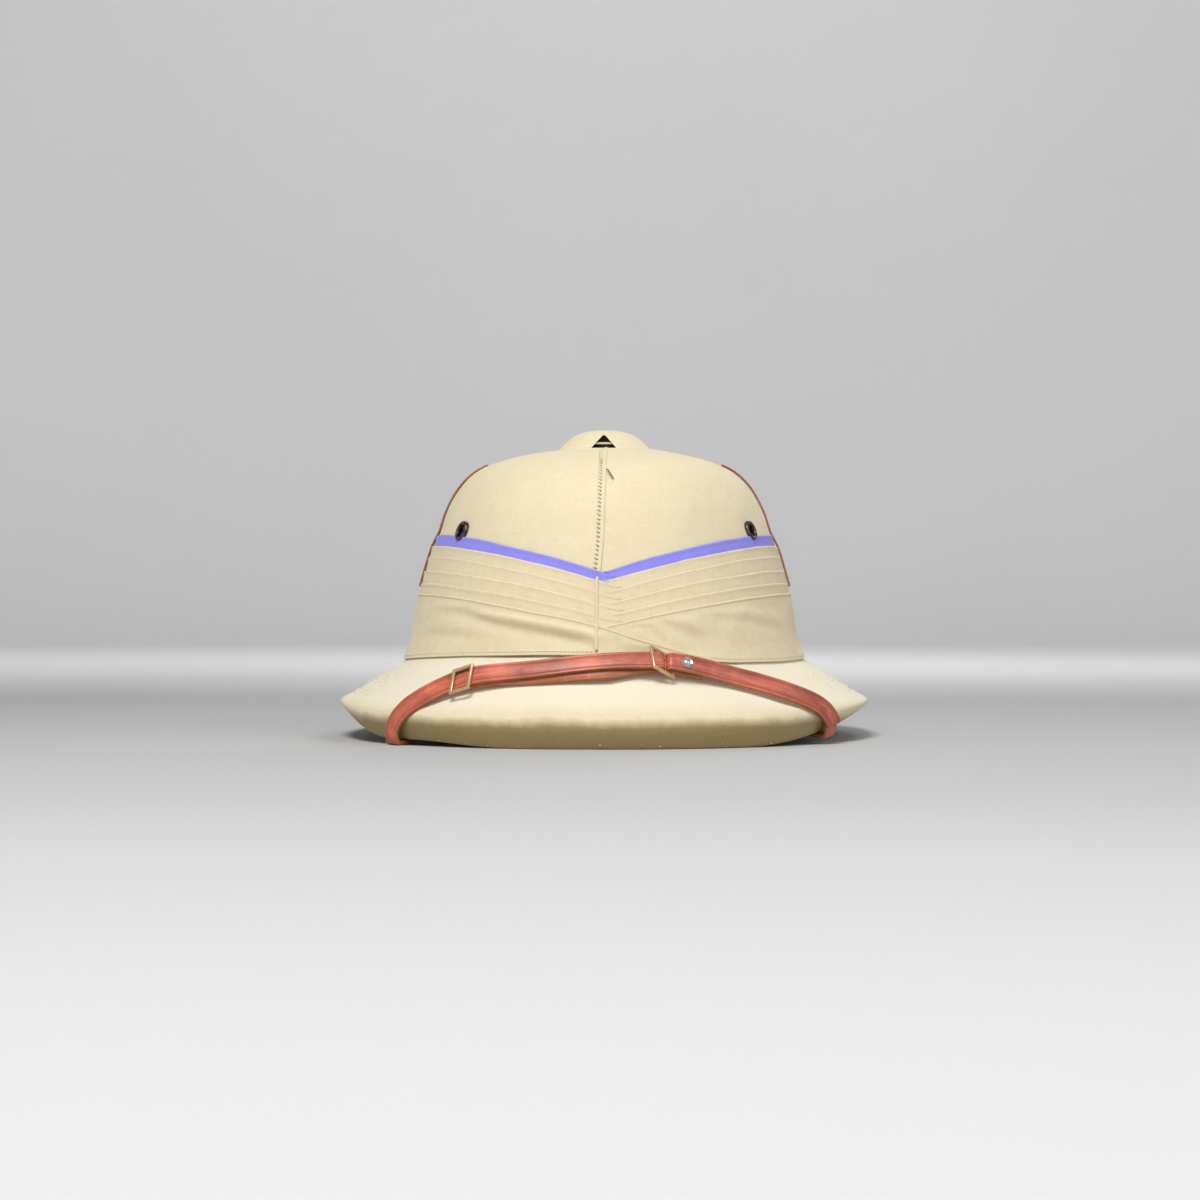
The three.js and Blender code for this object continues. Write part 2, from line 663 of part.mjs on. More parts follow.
const longStations = chinStrap(longRun, -1, crossing.long);
const turnStation = longStations[longStations.length - 1];
const shortEnds = [buckle.shortBar + 7, buckle.shortBar].map((distance) => ({
  place: turnStation.place.clone().addScaledVector(turnStation.along, distance),
  edge: turnStation.edge,
}));
const shortStations = chinStrap(shortRun, 1, crossing.short, shortEnds);
addPiece('chin_strap_long', strapGeometry(doubledBack(longStations, longReturn)), 'leather');
addPiece('chin_strap_short', strapGeometry(doubledBack(shortStations, shortReturn)), 'leather');
addPiece('strap_slide', slideGeometry(longStations), 'brass');
addPiece('strap_buckle', buckleGeometry(turnStation), 'brass');
addPiece('strap_rivet', rivetGeometry(shortStations), 'silver');
addPiece('strap_post_right', postGeometry(-1, crossing.long), 'tan');
addPiece('strap_post_left', postGeometry(1, crossing.short), 'tan');

export default group;
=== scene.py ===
"""Pith helmet: cloth cover, pleated band with a blue stripe, vent cap, eyelets and a leather chin strap."""

import math

import bmesh
import bpy
import numpy as np
from bpy.props import FloatProperty, FloatVectorProperty, PointerProperty
from mathutils import Matrix, Vector


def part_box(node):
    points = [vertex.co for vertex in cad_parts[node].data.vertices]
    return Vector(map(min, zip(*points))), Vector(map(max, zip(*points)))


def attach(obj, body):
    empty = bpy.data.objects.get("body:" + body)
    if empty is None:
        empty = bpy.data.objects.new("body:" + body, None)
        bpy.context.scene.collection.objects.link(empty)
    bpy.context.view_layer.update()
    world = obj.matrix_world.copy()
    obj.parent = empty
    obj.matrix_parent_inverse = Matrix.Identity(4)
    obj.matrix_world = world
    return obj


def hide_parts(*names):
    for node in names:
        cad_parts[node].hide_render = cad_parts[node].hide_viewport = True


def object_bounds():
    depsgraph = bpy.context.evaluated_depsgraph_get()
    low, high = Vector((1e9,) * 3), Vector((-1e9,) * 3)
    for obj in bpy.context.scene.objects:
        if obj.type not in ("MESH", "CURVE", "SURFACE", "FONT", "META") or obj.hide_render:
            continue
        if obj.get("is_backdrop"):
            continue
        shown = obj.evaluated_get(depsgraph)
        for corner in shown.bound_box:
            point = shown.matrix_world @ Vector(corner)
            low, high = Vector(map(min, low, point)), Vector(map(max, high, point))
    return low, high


bl_info = {
    "name": "Pith Helmet",
    "version": (1, 0, 0),
    "blender": (4, 5, 0),
    "location": "View3D > Sidebar > Helmet",
    "description": "Cloth, leather and metal pieces of a pith helmet round its fixed frame",
    "category": "Object",
}

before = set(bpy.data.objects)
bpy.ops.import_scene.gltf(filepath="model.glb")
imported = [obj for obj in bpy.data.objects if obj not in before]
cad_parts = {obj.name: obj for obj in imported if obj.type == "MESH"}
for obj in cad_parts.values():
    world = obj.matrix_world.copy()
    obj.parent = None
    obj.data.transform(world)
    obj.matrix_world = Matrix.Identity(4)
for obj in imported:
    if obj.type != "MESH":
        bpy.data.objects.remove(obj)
cad_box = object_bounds()
BODY = "root"

# Crown sections from the brim up: height and half width, in metres.
CROWN_SECTIONS = (
    (0.041, 0.1066),
    (0.05, 0.1035),
    (0.066, 0.1),
    (0.08, 0.097),
    (0.095, 0.0933),
    (0.107, 0.0901),
    (0.113, 0.0882),
    (0.12, 0.0859),
    (0.132, 0.0797),
    (0.1382, 0.0745),
    (0.1423, 0.0695),
    (0.145, 0.0645),
    (0.1474, 0.058),
    (0.1502, 0.048),
    (0.1523, 0.038),
    (0.1537, 0.029),
)
CROWN_RATIO = 1.2
CROWN_MIDDLE = -0.0165
CROWN_LEAN = 0.05
CROWN_BASE, CROWN_TOP = CROWN_SECTIONS[0][0], CROWN_SECTIONS[-1][0]
CROWN_WALL = 0.007

# Brim: half width, reach before and behind its widest line, and how the rim lifts at the sides.
BRIM_HALF = 0.1425
BRIM_WIDEST_Y = -0.011
BRIM_FRONT, BRIM_BACK = 0.166, 0.188
BRIM_ROUNDNESS = 2.2
BRIM_WALL = 0.006
BEND_INSET = 0.003
BEND_FRONT, BEND_SIDE = 0.0155, 0.0208
RIM_INSET = 0.0009
RIM_LIFT = 0.0145
LIFT_TO = 82.0
RIGHT_LIFT, LEFT_LIFT = ((15.0, 40.0, 0.2), (48.0, LIFT_TO, 0.8)), ((29.0, LIFT_TO, 1.0),)

VENT_RADIUS = 0.012
CAP_MIDDLE = CROWN_MIDDLE + CROWN_LEAN * (CROWN_TOP - CROWN_BASE)

# Fold lines of the band from the top down: height at the sides, and at the dip in front.
FOLD_LINES = (
    (0.1074, 0.0866),
    (0.1016, 0.082),
    (0.096, 0.0763),
    (0.0884, 0.0706),
    (0.0818, 0.0648),
    (0.0764, 0.0596),
)
FOLD_OUT = (-0.0001, 0.0008, 0.0011, 0.0013, 0.0015)
DIP_SPREAD = 75.0
DIP_ANGLE = 1.3

# The band's hem and the brim's root under it, at angles round from the front.
HEM_LINE = (
    (-180, 0.0412),
    (-120, 0.0408),
    (-88, 0.0408),
    (-60, 0.0430),
    (-40, 0.0446),
    (-15, 0.0456),
    (5, 0.0454),
    (20, 0.0436),
    (38, 0.0414),
    (60, 0.0412),
    (88, 0.0420),
    (120, 0.0412),
    (180, 0.0412),
)

# The outer end of the lower wrap runs down to the hem: angle round from the front, and height.
WRAP_TAIL = ((1.3, 0.0596), (12.0, 0.053), (23.0, 0.0472), (33.5, 0.0424))

# Soft creases of the lower wrap: from angle and height, to angle and height, width and depth.
CREASES = (
    (-41.0, 0.0622, 0.5, 0.0490, 0.0030, 0.00104),
    (-30.0, 0.0660, 1.0, 0.0548, 0.0026, -0.00065),
    (-58.0, 0.0668, -30.0, 0.0610, 0.0028, 0.00059),
    (-64.0, 0.0530, -34.0, 0.0526, 0.0030, 0.00046),
    (6.0, 0.0640, 18.0, 0.0520, 0.0028, 0.00065),
    (12.0, 0.0625, 30.0, 0.0520, 0.0034, 0.00072),
    (29.0, 0.0640, 66.0, 0.0562, 0.0030, 0.00052),
    (100.0, 0.0680, 150.0, 0.0520, 0.0034, 0.00072),
    (170.0, 0.0660, 205.0, 0.0540, 0.0034, 0.00065),
    (-130.0, 0.0520, -90.0, 0.0640, 0.0032, 0.00059),
)

# How far the side strips' faces stand off the crown, by height.
STRIP_LIFT = (
    (0.08, 0.0034),
    (0.088, 0.0031),
    (0.096, 0.0029),
    (0.101, 0.0025),
    (0.106, 0.0015),
    (0.1095, 0.0008),
)

EYELETS = (("right", -54.0, 0.1086), ("left", 59.8, 0.109))

# The front runs of the strap: place and the way that its upper edge points.
LONG_RUN = (
    (-0.1016, -0.1372, 0.0122, -0.7, 0.7, 0.1),
    (-0.0994, -0.1388, 0.0154, -0.66, 0.66, 0.36),
    (-0.095, -0.1404, 0.02, -0.55, 0.6, 0.58),
    (-0.0879, -0.1412, 0.0246, -0.38, 0.52, 0.76),
    (-0.075, -0.1434, 0.0309, -0.24, 0.48, 0.84),
    (-0.0625, -0.1471, 0.0352, -0.12, 0.47, 0.88),
    (-0.0391, -0.152, 0.0378, 0.0, 0.52, 0.85),
    (-0.0215, -0.1544, 0.04, 0.0, 0.58, 0.81),
    (-0.002, -0.155, 0.042, 0.0, 0.62, 0.78),
    (0.014, -0.1542, 0.043, 0.0, 0.62, 0.78),
    (0.0304, -0.1517, 0.0431, 0.0, 0.6, 0.8),
)
SHORT_RUN = (
    (0.1178, -0.1184, 0.0106, 0.7, 0.7, 0.1),
    (0.1152, -0.1224, 0.0158, 0.66, 0.66, 0.36),
    (0.1095, -0.1266, 0.0208, 0.55, 0.6, 0.56),
    (0.098, -0.1318, 0.026, 0.4, 0.54, 0.74),
    (0.079, -0.1364, 0.0322, 0.26, 0.48, 0.84),
    (0.0603, -0.1414, 0.037, 0.12, 0.5, 0.86),
    (0.0448, -0.1479, 0.0411, 0.04, 0.56, 0.83),
    (0.0372, -0.1505, 0.0425, 0.0, 0.6, 0.8),
)
LONG_RETURN = {"to": -0.067, "drop": 0.0042, "after": 0.007, "over": 0.018, "level": 0.1}
SHORT_RETURN = {"to": 0.0525, "drop": 0.0006, "after": 0.004, "over": 0.008, "level": 1.0}
LAYER_SPACING, TURN_SPACING = 0.0024, 0.0039

# The way round and under the rim: further round, inset from the brim's tip, and height above the rim.
RIM_ROUTE = (
    (0.0, -0.0017, 0.0045),
    (0.1, -0.0013, 0.0008),
    (0.3, 0.0001, -0.0014),
    (0.6, 0.0028, -0.0015),
    (1.0, 0.0064, -0.0015),
    (1.4, 0.0088, -0.0008),
    (1.8, 0.0102, 0.0022),
)
UNDER_ROUTE = ((4.0, 0.66, 0.003), (8.0, 0.3, 0.0045))
LONG_CROSSING, SHORT_CROSSING = 44.0, 52.5
POST_TURN, POST_HEIGHT, POST_DEPTH, POST_BACKING, POST_CLEARANCE = 16.0, 0.054, 0.004, 0.00115, 0.0007
SLIDE_X, RIVET_X = -0.0674, 0.0437

# Steps along the two straps, and where the brim's slope ends under the band's hem.
LONG_STEPS, SHORT_STEPS = 420, 380
ROOT_BELOW_HEM = 0.0004


def length(name, description, value):
    return FloatProperty(name=name, description=description, default=value, unit="LENGTH")


def colour(name, description, value):
    return FloatVectorProperty(
        name=name, description=description, default=value, size=3, min=0, max=1, subtype="COLOR"
    )


class HelmetSizes(bpy.types.PropertyGroup):
    """Sizes that a maker would change without moving the frame."""

    cloth: length("Cloth", "Thickness of the band's cloth", 0.0006)
    weave: length("Weave", "Distance between two threads of the cloth", 0.00065)
    strap_width: length("Strap width", "Width of the chin strap", 0.0095)
    strap_thickness: length("Strap thickness", "Thickness of the strap's leather", 0.002)
    stitch: length("Stitch pitch", "Distance from one seam stitch to the next", 0.0024)
    thread: length("Thread", "Diameter of the sewing thread", 0.0005)
    wire: length("Wire", "Thickness of the slide's and buckle's bars", 0.0017)


class HelmetColours(bpy.types.PropertyGroup):
    """Base colours of the helmet's finishes, as linear values."""

    cover: colour("Cover", "Cream cotton of the crown and brim", (0.80, 0.70, 0.47))
    band: colour("Band", "Cream cotton of the pleated band", (0.80, 0.69, 0.465))
    blue: colour("Blue", "Blue cotton of the band's top fold", (0.30, 0.29, 0.92))
    # Partly painted light: besides the tape's own colour, the tan stands for a warm rim light along the
    # helmet's outline.
    tan: colour("Tan", "Tape over the side seams", (0.40, 0.17, 0.08))
    leather: colour("Leather", "Reddish-brown strap leather", (0.52, 0.118, 0.068))
    raw_edge: colour("Raw edge", "Cut edge of the strap leather", (0.42, 0.17, 0.06))
    brass: colour("Brass", "Slide and buckle", (0.66, 0.44, 0.26))
    bronze: colour("Bronze", "Eyelets", (0.16, 0.12, 0.13))
    silver: colour("Silver", "Rivet head", (0.72, 0.70, 0.66))
    thread: colour("Thread", "Sewing thread", (0.78, 0.68, 0.48))
    floor: colour("Floor", "Plain pale floor", (0.5, 0.5, 0.5))


def sizes():
    return bpy.context.scene.helmet_sizes


def colours():
    return bpy.context.scene.helmet_colours


# Curves and the helmet's main surfaces


def curve_through(points, at):
    """Places on a smooth curve through points; `at` counts in points from the first one."""
    points = np.asarray(points, float)
    ends = np.vstack([2 * points[0] - points[1], points, 2 * points[-1] - points[-2]])
    at = np.atleast_1d(at)
    span = np.clip(at.astype(int), 0, len(points) - 2)
    t = (at - span)[:, None]
    p0, p1, p2, p3 = (ends[span + k] for k in range(4))
    d0, d1, d2 = (
        np.maximum(np.linalg.norm(b - a, axis=1), 1e-9)[:, None] ** 0.5
        for a, b in ((p0, p1), (p1, p2), (p2, p3))
    )
    start = ((p1 - p0) / d0 - (p2 - p0) / (d0 + d1) + (p2 - p1) / d1) * d1
    end = ((p2 - p1) / d1 - (p3 - p1) / (d1 + d2) + (p3 - p2) / d2) * d1
    bend = -3 * p1 + 3 * p2 - 2 * start - end
    return p1 + start * t + bend * t**2 + (2 * p1 - 2 * p2 + start + end) * t**3


def rounded_rows(rows, samples):
    """A smooth profile near control rows, each an array of places round the helmet."""
    rows = np.concatenate([rows[:1], rows, rows[-1:]])
    t = (np.arange(samples) / samples)[:, None, None, None]
    weights = ((1 - t) ** 3, 3 * t**3 - 6 * t**2 + 4, -3 * t**3 + 3 * t**2 + 3 * t + 1, t**3)
    made = sum(weight * rows[k : len(rows) - 3 + k][None] for k, weight in enumerate(weights)) / 6
    inner = made.transpose(1, 0, 2, 3).reshape(-1, *rows.shape[1:])
    return np.concatenate([rows[1:2], inner, rows[-1:]])


CROWN_CURVE = curve_through(CROWN_SECTIONS, np.linspace(0, len(CROWN_SECTIONS) - 1, 400))


def crown_point(degrees, z, out=0.0):
    """The crown's outer face at an angle from the front and a height, moved out in plan."""
    phi, z = np.radians(degrees), np.asarray(z, float)
    half = np.interp(z, CROWN_CURVE[:, 0], CROWN_CURVE[:, 1])
    middle = CROWN_MIDDLE + CROWN_LEAN * (z - CROWN_BASE)
    x = (half + out) * np.sin(phi)
    y = middle - (CROWN_RATIO * half + out) * np.cos(phi)
    return np.stack(np.broadcast_arrays(x, y, z), axis=-1)


def crown_frame(degrees, z):
    """Place, way round and way out at a spot of the crown."""
    place = crown_point(degrees, z)
    round_ = unit(crown_point(degrees + 1, z) - crown_point(degrees - 1, z))
    up = unit(crown_point(degrees, z + 0.001) - crown_point(degrees, z - 0.001))
    return place, round_, unit(np.cross(round_, up))


def unit(vectors):
    return vectors / np.maximum(np.linalg.norm(vectors, axis=-1, keepdims=True), 1e-12)


def path_length(path):
    return float(np.linalg.norm(np.diff(path, axis=0), axis=1).sum())


def smoothstep(value, low, high):
    share = np.clip((value - low) / (high - low), 0, 1)
    return share * share * (3 - 2 * share)


def from_front(degrees):
    """The angle from the front, between -180 and 180."""
    return (np.asarray(degrees, float) + 180) % 360 - 180


def brim_point(degrees, inset, z):
    phi = np.radians(degrees)
    s, c = np.sin(phi), np.cos(phi)
    power = 2 / BRIM_ROUNDNESS
    reach = np.where(c > 0, BRIM_FRONT, BRIM_BACK) - inset
    x = (BRIM_HALF - inset) * np.sign(s) * np.abs(s) ** power
    y = BRIM_WIDEST_Y - reach * np.sign(c) * np.abs(c) ** power
    return np.stack(np.broadcast_arrays(x, y, z), axis=-1)


def rim_height(degrees):
    """The rim is lowest before and behind, and lifts from a different angle on the right and the left."""
    turned = from_front(degrees)
    from_end = np.minimum(np.abs(turned), 180 - np.abs(turned))
    right, left = (
        sum(share * smoothstep(from_end, start, end) for start, end, share in steps)
        for steps in (RIGHT_LIFT, LEFT_LIFT)
    )
    return RIM_LIFT * np.where(turned < 0, right, left)


def hem_height(degrees):
    return np.interp(from_front(degrees), *zip(*HEM_LINE))


def bend_height(degrees):
    return BEND_FRONT + (BEND_SIDE - BEND_FRONT) * np.sin(np.radians(degrees)) ** 2


def brim_slope(degrees, share):
    """The brim's top at a share of the way down from the hem to the rim's bend."""
    base = crown_point(degrees, hem_height(degrees) - ROOT_BELOW_HEM)
    bend = brim_point(degrees, BEND_INSET, bend_height(degrees))
    return base + (bend - base) * share


def under_slope(degrees, share, lower_share, depth):
    """The brim's slope moved into the shell along the outer face's normal."""
    row = brim_slope(degrees, share)
    along = brim_slope(degrees + 1, share) - brim_slope(degrees - 1, share)
    down = brim_slope(degrees, lower_share) - row
    return row + unit(np.cross(along, down)) * depth


def unevenness(points, wavelength, seed, waves=16):
    """A gentle, repeatable unevenness of about -1 to 1 at points in space."""
    rng = np.random.default_rng(seed)
    ways = unit(rng.normal(size=(waves, 3)))
    lengths = wavelength * rng.uniform(0.6, 1.7, waves)
    phases = rng.uniform(0, 2 * np.pi, waves)
    waves_at = np.sin(points @ (ways / lengths[:, None]).T * 2 * np.pi + phases)
    return waves_at.sum(-1) / math.sqrt(waves / 2) * 0.6


# Meshes

MERGE_DISTANCE = 1e-6


def deselect():
    bpy.ops.object.select_all(action="DESELECT")


def added(kind, **settings):
    """A new mesh of one of Blender's plain kinds, selected alone."""
    deselect()
    getattr(bpy.ops.mesh, f"primitive_{kind}_add")(**settings)
    return bpy.context.object


def choose(piece):
    """Select one piece alone, and make it the active one."""
    deselect()
    piece.select_set(True)
    bpy.context.view_layer.objects.active = piece


def in_edit_mode(piece, *steps):
    """Run edit-mode steps with everything selected."""
    bpy.context.view_layer.objects.active = piece
    bpy.ops.object.mode_set(mode="EDIT")
    bpy.ops.mesh.select_all(action="SELECT")
    for step in steps:
        step()
    bpy.ops.object.mode_set(mode="OBJECT")


def merge_doubles():
    bpy.ops.mesh.select_all(action="SELECT")
    bpy.ops.mesh.remove_doubles(threshold=MERGE_DISTANCE)


def fill_ends():
    bpy.ops.mesh.select_all(action="DESELECT")
    bpy.ops.mesh.select_non_manifold()
    bpy.ops.mesh.edge_face_add()


def face_outward():
    bpy.ops.mesh.select_all(action="SELECT")
    bpy.ops.mesh.normals_make_consistent(inside=False)


def apply_modifier(piece, kind, **settings):
    choose(piece)
    modifier = piece.modifiers.new(kind.title(), kind)
    for key, value in settings.items():
        setattr(modifier, key, value)
    bpy.ops.object.modifier_apply(modifier=modifier.name)


def thicken(piece, thickness):
    apply_modifier(piece, "SOLIDIFY", thickness=thickness, offset=-1.0)


def shade(piece, degrees=None):
    choose(piece)
    if degrees is None:
        bpy.ops.object.shade_smooth()
    else:
        bpy.ops.object.shade_smooth_by_angle(angle=math.radians(degrees))


def named(name, piece):
    piece.name = piece.data.name = name
    return piece


def laid_grid(name, points, flat, loops=(False, False)):
    """A grid laid on points[across, along], with a UV map in metres, closed where it loops."""
    across, along = points.shape[0] - 1, points.shape[1] - 1
    piece = named(name, added("grid", x_subdivisions=along, y_subdivisions=across, size=1))
    mesh = piece.data
    places = np.zeros(len(mesh.vertices) * 3)
    mesh.vertices.foreach_get("co", places)
    shares = places.reshape(-1, 3)[:, :2] + 0.5
    i = np.rint(shares[:, 1] * across).astype(int)
    k = np.rint(shares[:, 0] * along).astype(int)
    mesh.vertices.foreach_set("co", points[i, k].ravel())
    uv = np.zeros(len(mesh.loops) * 2)
    mesh.uv_layers[0].data.foreach_get("uv", uv)
    uv = uv.reshape(-1, 2)
    uv = flat(uv) if callable(flat) else uv * np.array(flat)
    mesh.uv_layers[0].data.foreach_set("uv", np.ascontiguousarray(uv, float).ravel())
    mesh.update()
    if any(loops):
        in_edit_mode(piece, merge_doubles)
    return piece


def joined(name, pieces):
    """One piece of several, with the first one's place and materials."""
    deselect()
    for piece in pieces:
        piece.select_set(True)
    bpy.context.view_layer.objects.active = pieces[0]
    if len(pieces) > 1:
        bpy.ops.object.join()
    return named(name, bpy.context.object)


def copies(name, model, matrices):
    """One mesh holding a copy of a small model mesh at each matrix."""
    source = bmesh.new()
    source.from_mesh(model.data)
    result = bmesh.new()
    for matrix in matrices:
        made = {v: result.verts.new(matrix @ v.co) for v in source.verts}
        for face in source.faces:
            result.faces.new([made[v] for v in face.verts])
    mesh = bpy.data.meshes.new(name)
    result.to_mesh(mesh)
    source.free()
    result.free()
    bpy.data.objects.remove(model)
    piece = bpy.data.objects.new(name, mesh)
    bpy.context.scene.collection.objects.link(piece)
    return piece


def frame_matrix(place, x, z, y=None):
    """The matrix that lays a model at a place by its axes; y is square to the others unless it leans."""
    matrix = Matrix((x, np.cross(z, x) if y is None else y, z)).transposed().to_4x4()
    matrix.translation = Vector(place)
    return matrix


def finish_piece(piece, material, slot, *nodes):
    """Give the piece its material and body, and let it stand for its frame nodes; the slot is not used."""
    piece.data.materials.clear()
    piece.data.materials.append(material)
    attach(piece, BODY)
    if nodes:
        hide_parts(*nodes)


def sew(name, size, matrices, finish, slot):
    """A row of bowed stitches, each a length and thickness of thread along +X with its ends going down."""
    model = added("uv_sphere", segments=8, ring_count=6, radius=1)
    half_length, half_thickness = size[0] / 2, size[1] / 2
    for vertex in model.data.vertices:
        x, y, z = vertex.co
        vertex.co = (x * half_length, y * half_thickness, (z - 0.6 * x * x) * half_thickness)
    stitches = copies(name, model, matrices)
    shade(stitches)
    finish_piece(stitches, finish, slot)


# Materials


class Nodes:
    """A material's nodes, added and linked by short calls."""

    def __init__(self, name):
        self.material = bpy.data.materials.get(name) or bpy.data.materials.new(name)
        self.material.use_nodes = True
        self.tree = self.material.node_tree
        self.tree.nodes.clear()
        self.shader = self.add("ShaderNodeBsdfPrincipled")
        self.add("ShaderNodeOutputMaterial", {"Surface": self.shader.outputs[0]})
        coordinates = self.add("ShaderNodeTexCoord").outputs
        self.flat, self.space = coordinates["UV"], coordinates["Object"]

    def add(self, kind, inputs=None, **settings):
        node = self.tree.nodes.new(kind)
        for key, value in settings.items():
            setattr(node, key, value)
        self.fill(node, inputs or {})
        return node

    def fill(self, node, inputs):
        """Set a node's inputs, or link them to other nodes' outputs."""
        for key, value in inputs.items():
            if isinstance(value, bpy.types.NodeSocket):
                self.tree.links.new(value, node.inputs[key])
            else:
                node.inputs[key].default_value = value

    def finished(self, colour_, roughness, normal=None, **others):
        """The material, once its shader is filled in."""
        self.fill(self.shader, {"Base Color": colour_, "Roughness": roughness})
        if normal is not None:
            self.fill(self.shader, {"Normal": normal})
        self.fill(self.shader, {key.replace("_", " "): value for key, value in others.items()})
        return self.material

    def noise(self, vector, scale, detail=2.0, roughness=0.5):
        inputs = {"Vector": vector, "Scale": scale, "Detail": detail, "Roughness": roughness}
        return self.add("ShaderNodeTexNoise", inputs).outputs["Fac"]

    def spread(self, value, low, high, to_low=0.0, to_high=1.0):
        inputs = {"Value": value, "From Min": low, "From Max": high, "To Min": to_low, "To Max": to_high}
        return self.add("ShaderNodeMapRange", inputs).outputs["Result"]

    def math(self, operation, a, b):
        return self.add("ShaderNodeMath", {0: a, 1: b}, operation=operation).outputs[0]

    def mix(self, share, a, b, blend="MIX"):
        inputs = {0: share, 6: a, 7: b}
        return self.add("ShaderNodeMix", inputs, data_type="RGBA", blend_type=blend).outputs[2]

    def tint(self, share, base, dark, light):
        """A colour that goes from its darker to its lighter tone."""
        return self.mix(share, tone(base, dark), tone(base, light))

    def scaled(self, vector, scale):
        return self.add("ShaderNodeMapping", {"Vector": vector, "Scale": scale}).outputs["Vector"]

    def bump(self, height, distance, strength, normal=None):
        node = self.add("ShaderNodeBump", {"Height": height, "Distance": distance, "Strength": strength})
        if normal is not None:
            self.fill(node, {"Normal": normal})
        return node.outputs["Normal"]


def tone(value, factor):
    """A colour times one factor or three, with full alpha."""
    return tuple(min(1.0, max(0.0, c * f)) for c, f in zip(value, np.broadcast_to(factor, 3))) + (1.0,)


def cloth_nodes(name, base, stain):
    """Matt cotton: plain weave with uneven threads, faint stains and a few dark slubs."""
    nodes = Nodes(name)
    wave_scale = 2 * math.pi / 20 / sizes().weave
    wave = {"Vector": nodes.flat, "Scale": wave_scale, "Distortion": 1.2, "Detail": 1.0, "Detail Scale": 0.6}
    threads = [
        nodes.add("ShaderNodeTexWave", wave, wave_type="BANDS", bands_direction=way).outputs["Fac"]
        for way in ("X", "Y")
    ]
    weave = nodes.math("MULTIPLY", *threads)
    warp = nodes.noise(nodes.scaled(nodes.flat, (1400.0, 90.0, 1.0)), 1.0)
    weft = nodes.noise(nodes.scaled(nodes.flat, (90.0, 1400.0, 1.0)), 1.0)
    streaks = nodes.math("ADD", warp, weft)
    blotches = nodes.noise(nodes.space, 26.0, 4.0, 0.6)
    mottle = nodes.noise(nodes.space, 320.0, 3.0, 0.6)
    slubs = nodes.noise(nodes.space, 900.0, 1.0)
    woven = nodes.tint(nodes.spread(streaks, 0.7, 1.3), base, (0.96, 0.95, 0.94), (1.03, 1.03, 1.04))
    for pattern, limits, factor in (
        (blotches, (0.5, 0.78, 0.0, 0.35 * stain), (0.86, 0.79, 0.62)),
        (mottle, (0.5, 0.8, 0.0, 0.4 * stain), (0.82, 0.76, 0.62)),
        (slubs, (0.79, 0.82, 0.0, 0.4 * stain), (0.5, 0.4, 0.28)),
        (weave, (0.0, 0.5, 0.04, 0.0), (0.7, 0.65, 0.52)),
    ):
        woven = nodes.mix(nodes.spread(pattern, *limits), woven, tone(base, factor))
    normal = nodes.bump(nodes.noise(nodes.space, 90.0, 3.0, 0.55), 0.0009, 0.5)
    normal = nodes.bump(streaks, 0.0001, 0.35, normal)
    normal = nodes.bump(weave, 0.00007, 0.5, normal)
    roughness = nodes.spread(mottle, 0.3, 0.7, 0.82, 0.97)
    nodes.finished(woven, roughness, normal, Specular_IOR_Level=0.18, Sheen_Weight=0.12, Sheen_Roughness=0.6)
    return nodes, woven


def cloth(name, base, stain=0.5):
    return cloth_nodes(name, base, stain)[0].material


def cover_finish(name):
    """The cover's cotton, paler on top of the brim with painted light and a little bleaching, and darker low
    on the rim with painted shade and some soil.
    """
    nodes, woven = cloth_nodes(name, colours().cover, 0.5)
    height = nodes.add("ShaderNodeSeparateXYZ", {"Vector": nodes.space}).outputs["Z"]
    clouds = nodes.spread(nodes.noise(nodes.space, 60.0, 4.0, 0.65), 0.3, 0.7, -0.0012, 0.0012)
    cloudy = nodes.math("ADD", height, clouds)
    # Painted shade, with some soil: the colour darkens towards the bottom of the rim, where its face turns
    # down away from the light.
    shade_and_soil = nodes.spread(cloudy, 0.0105, 0.0155, 0.9, 0.0)
    # Painted light, with a little bleaching: the brim's top between these heights is paler, as it is where it
    # faces the light.
    painted_light_and_bleach = nodes.math("MULTIPLY", nodes.spread(cloudy, 0.017, 0.022), nodes.spread(cloudy, 0.05, 0.041))
    with_painted_light_and_bleach = nodes.mix(nodes.math("MULTIPLY", painted_light_and_bleach, 0.6), woven, tone(colours().cover, (1.1, 1.17, 1.45)))
    # The painted shade and soil are multiplied into the colour low on the rim.
    shaded_and_soiled = nodes.mix(shade_and_soil, with_painted_light_and_bleach, (0.42, 0.35, 0.19, 1.0), "MULTIPLY")
    nodes.fill(nodes.shader, {"Base Color": shaded_and_soiled})
    return nodes.material


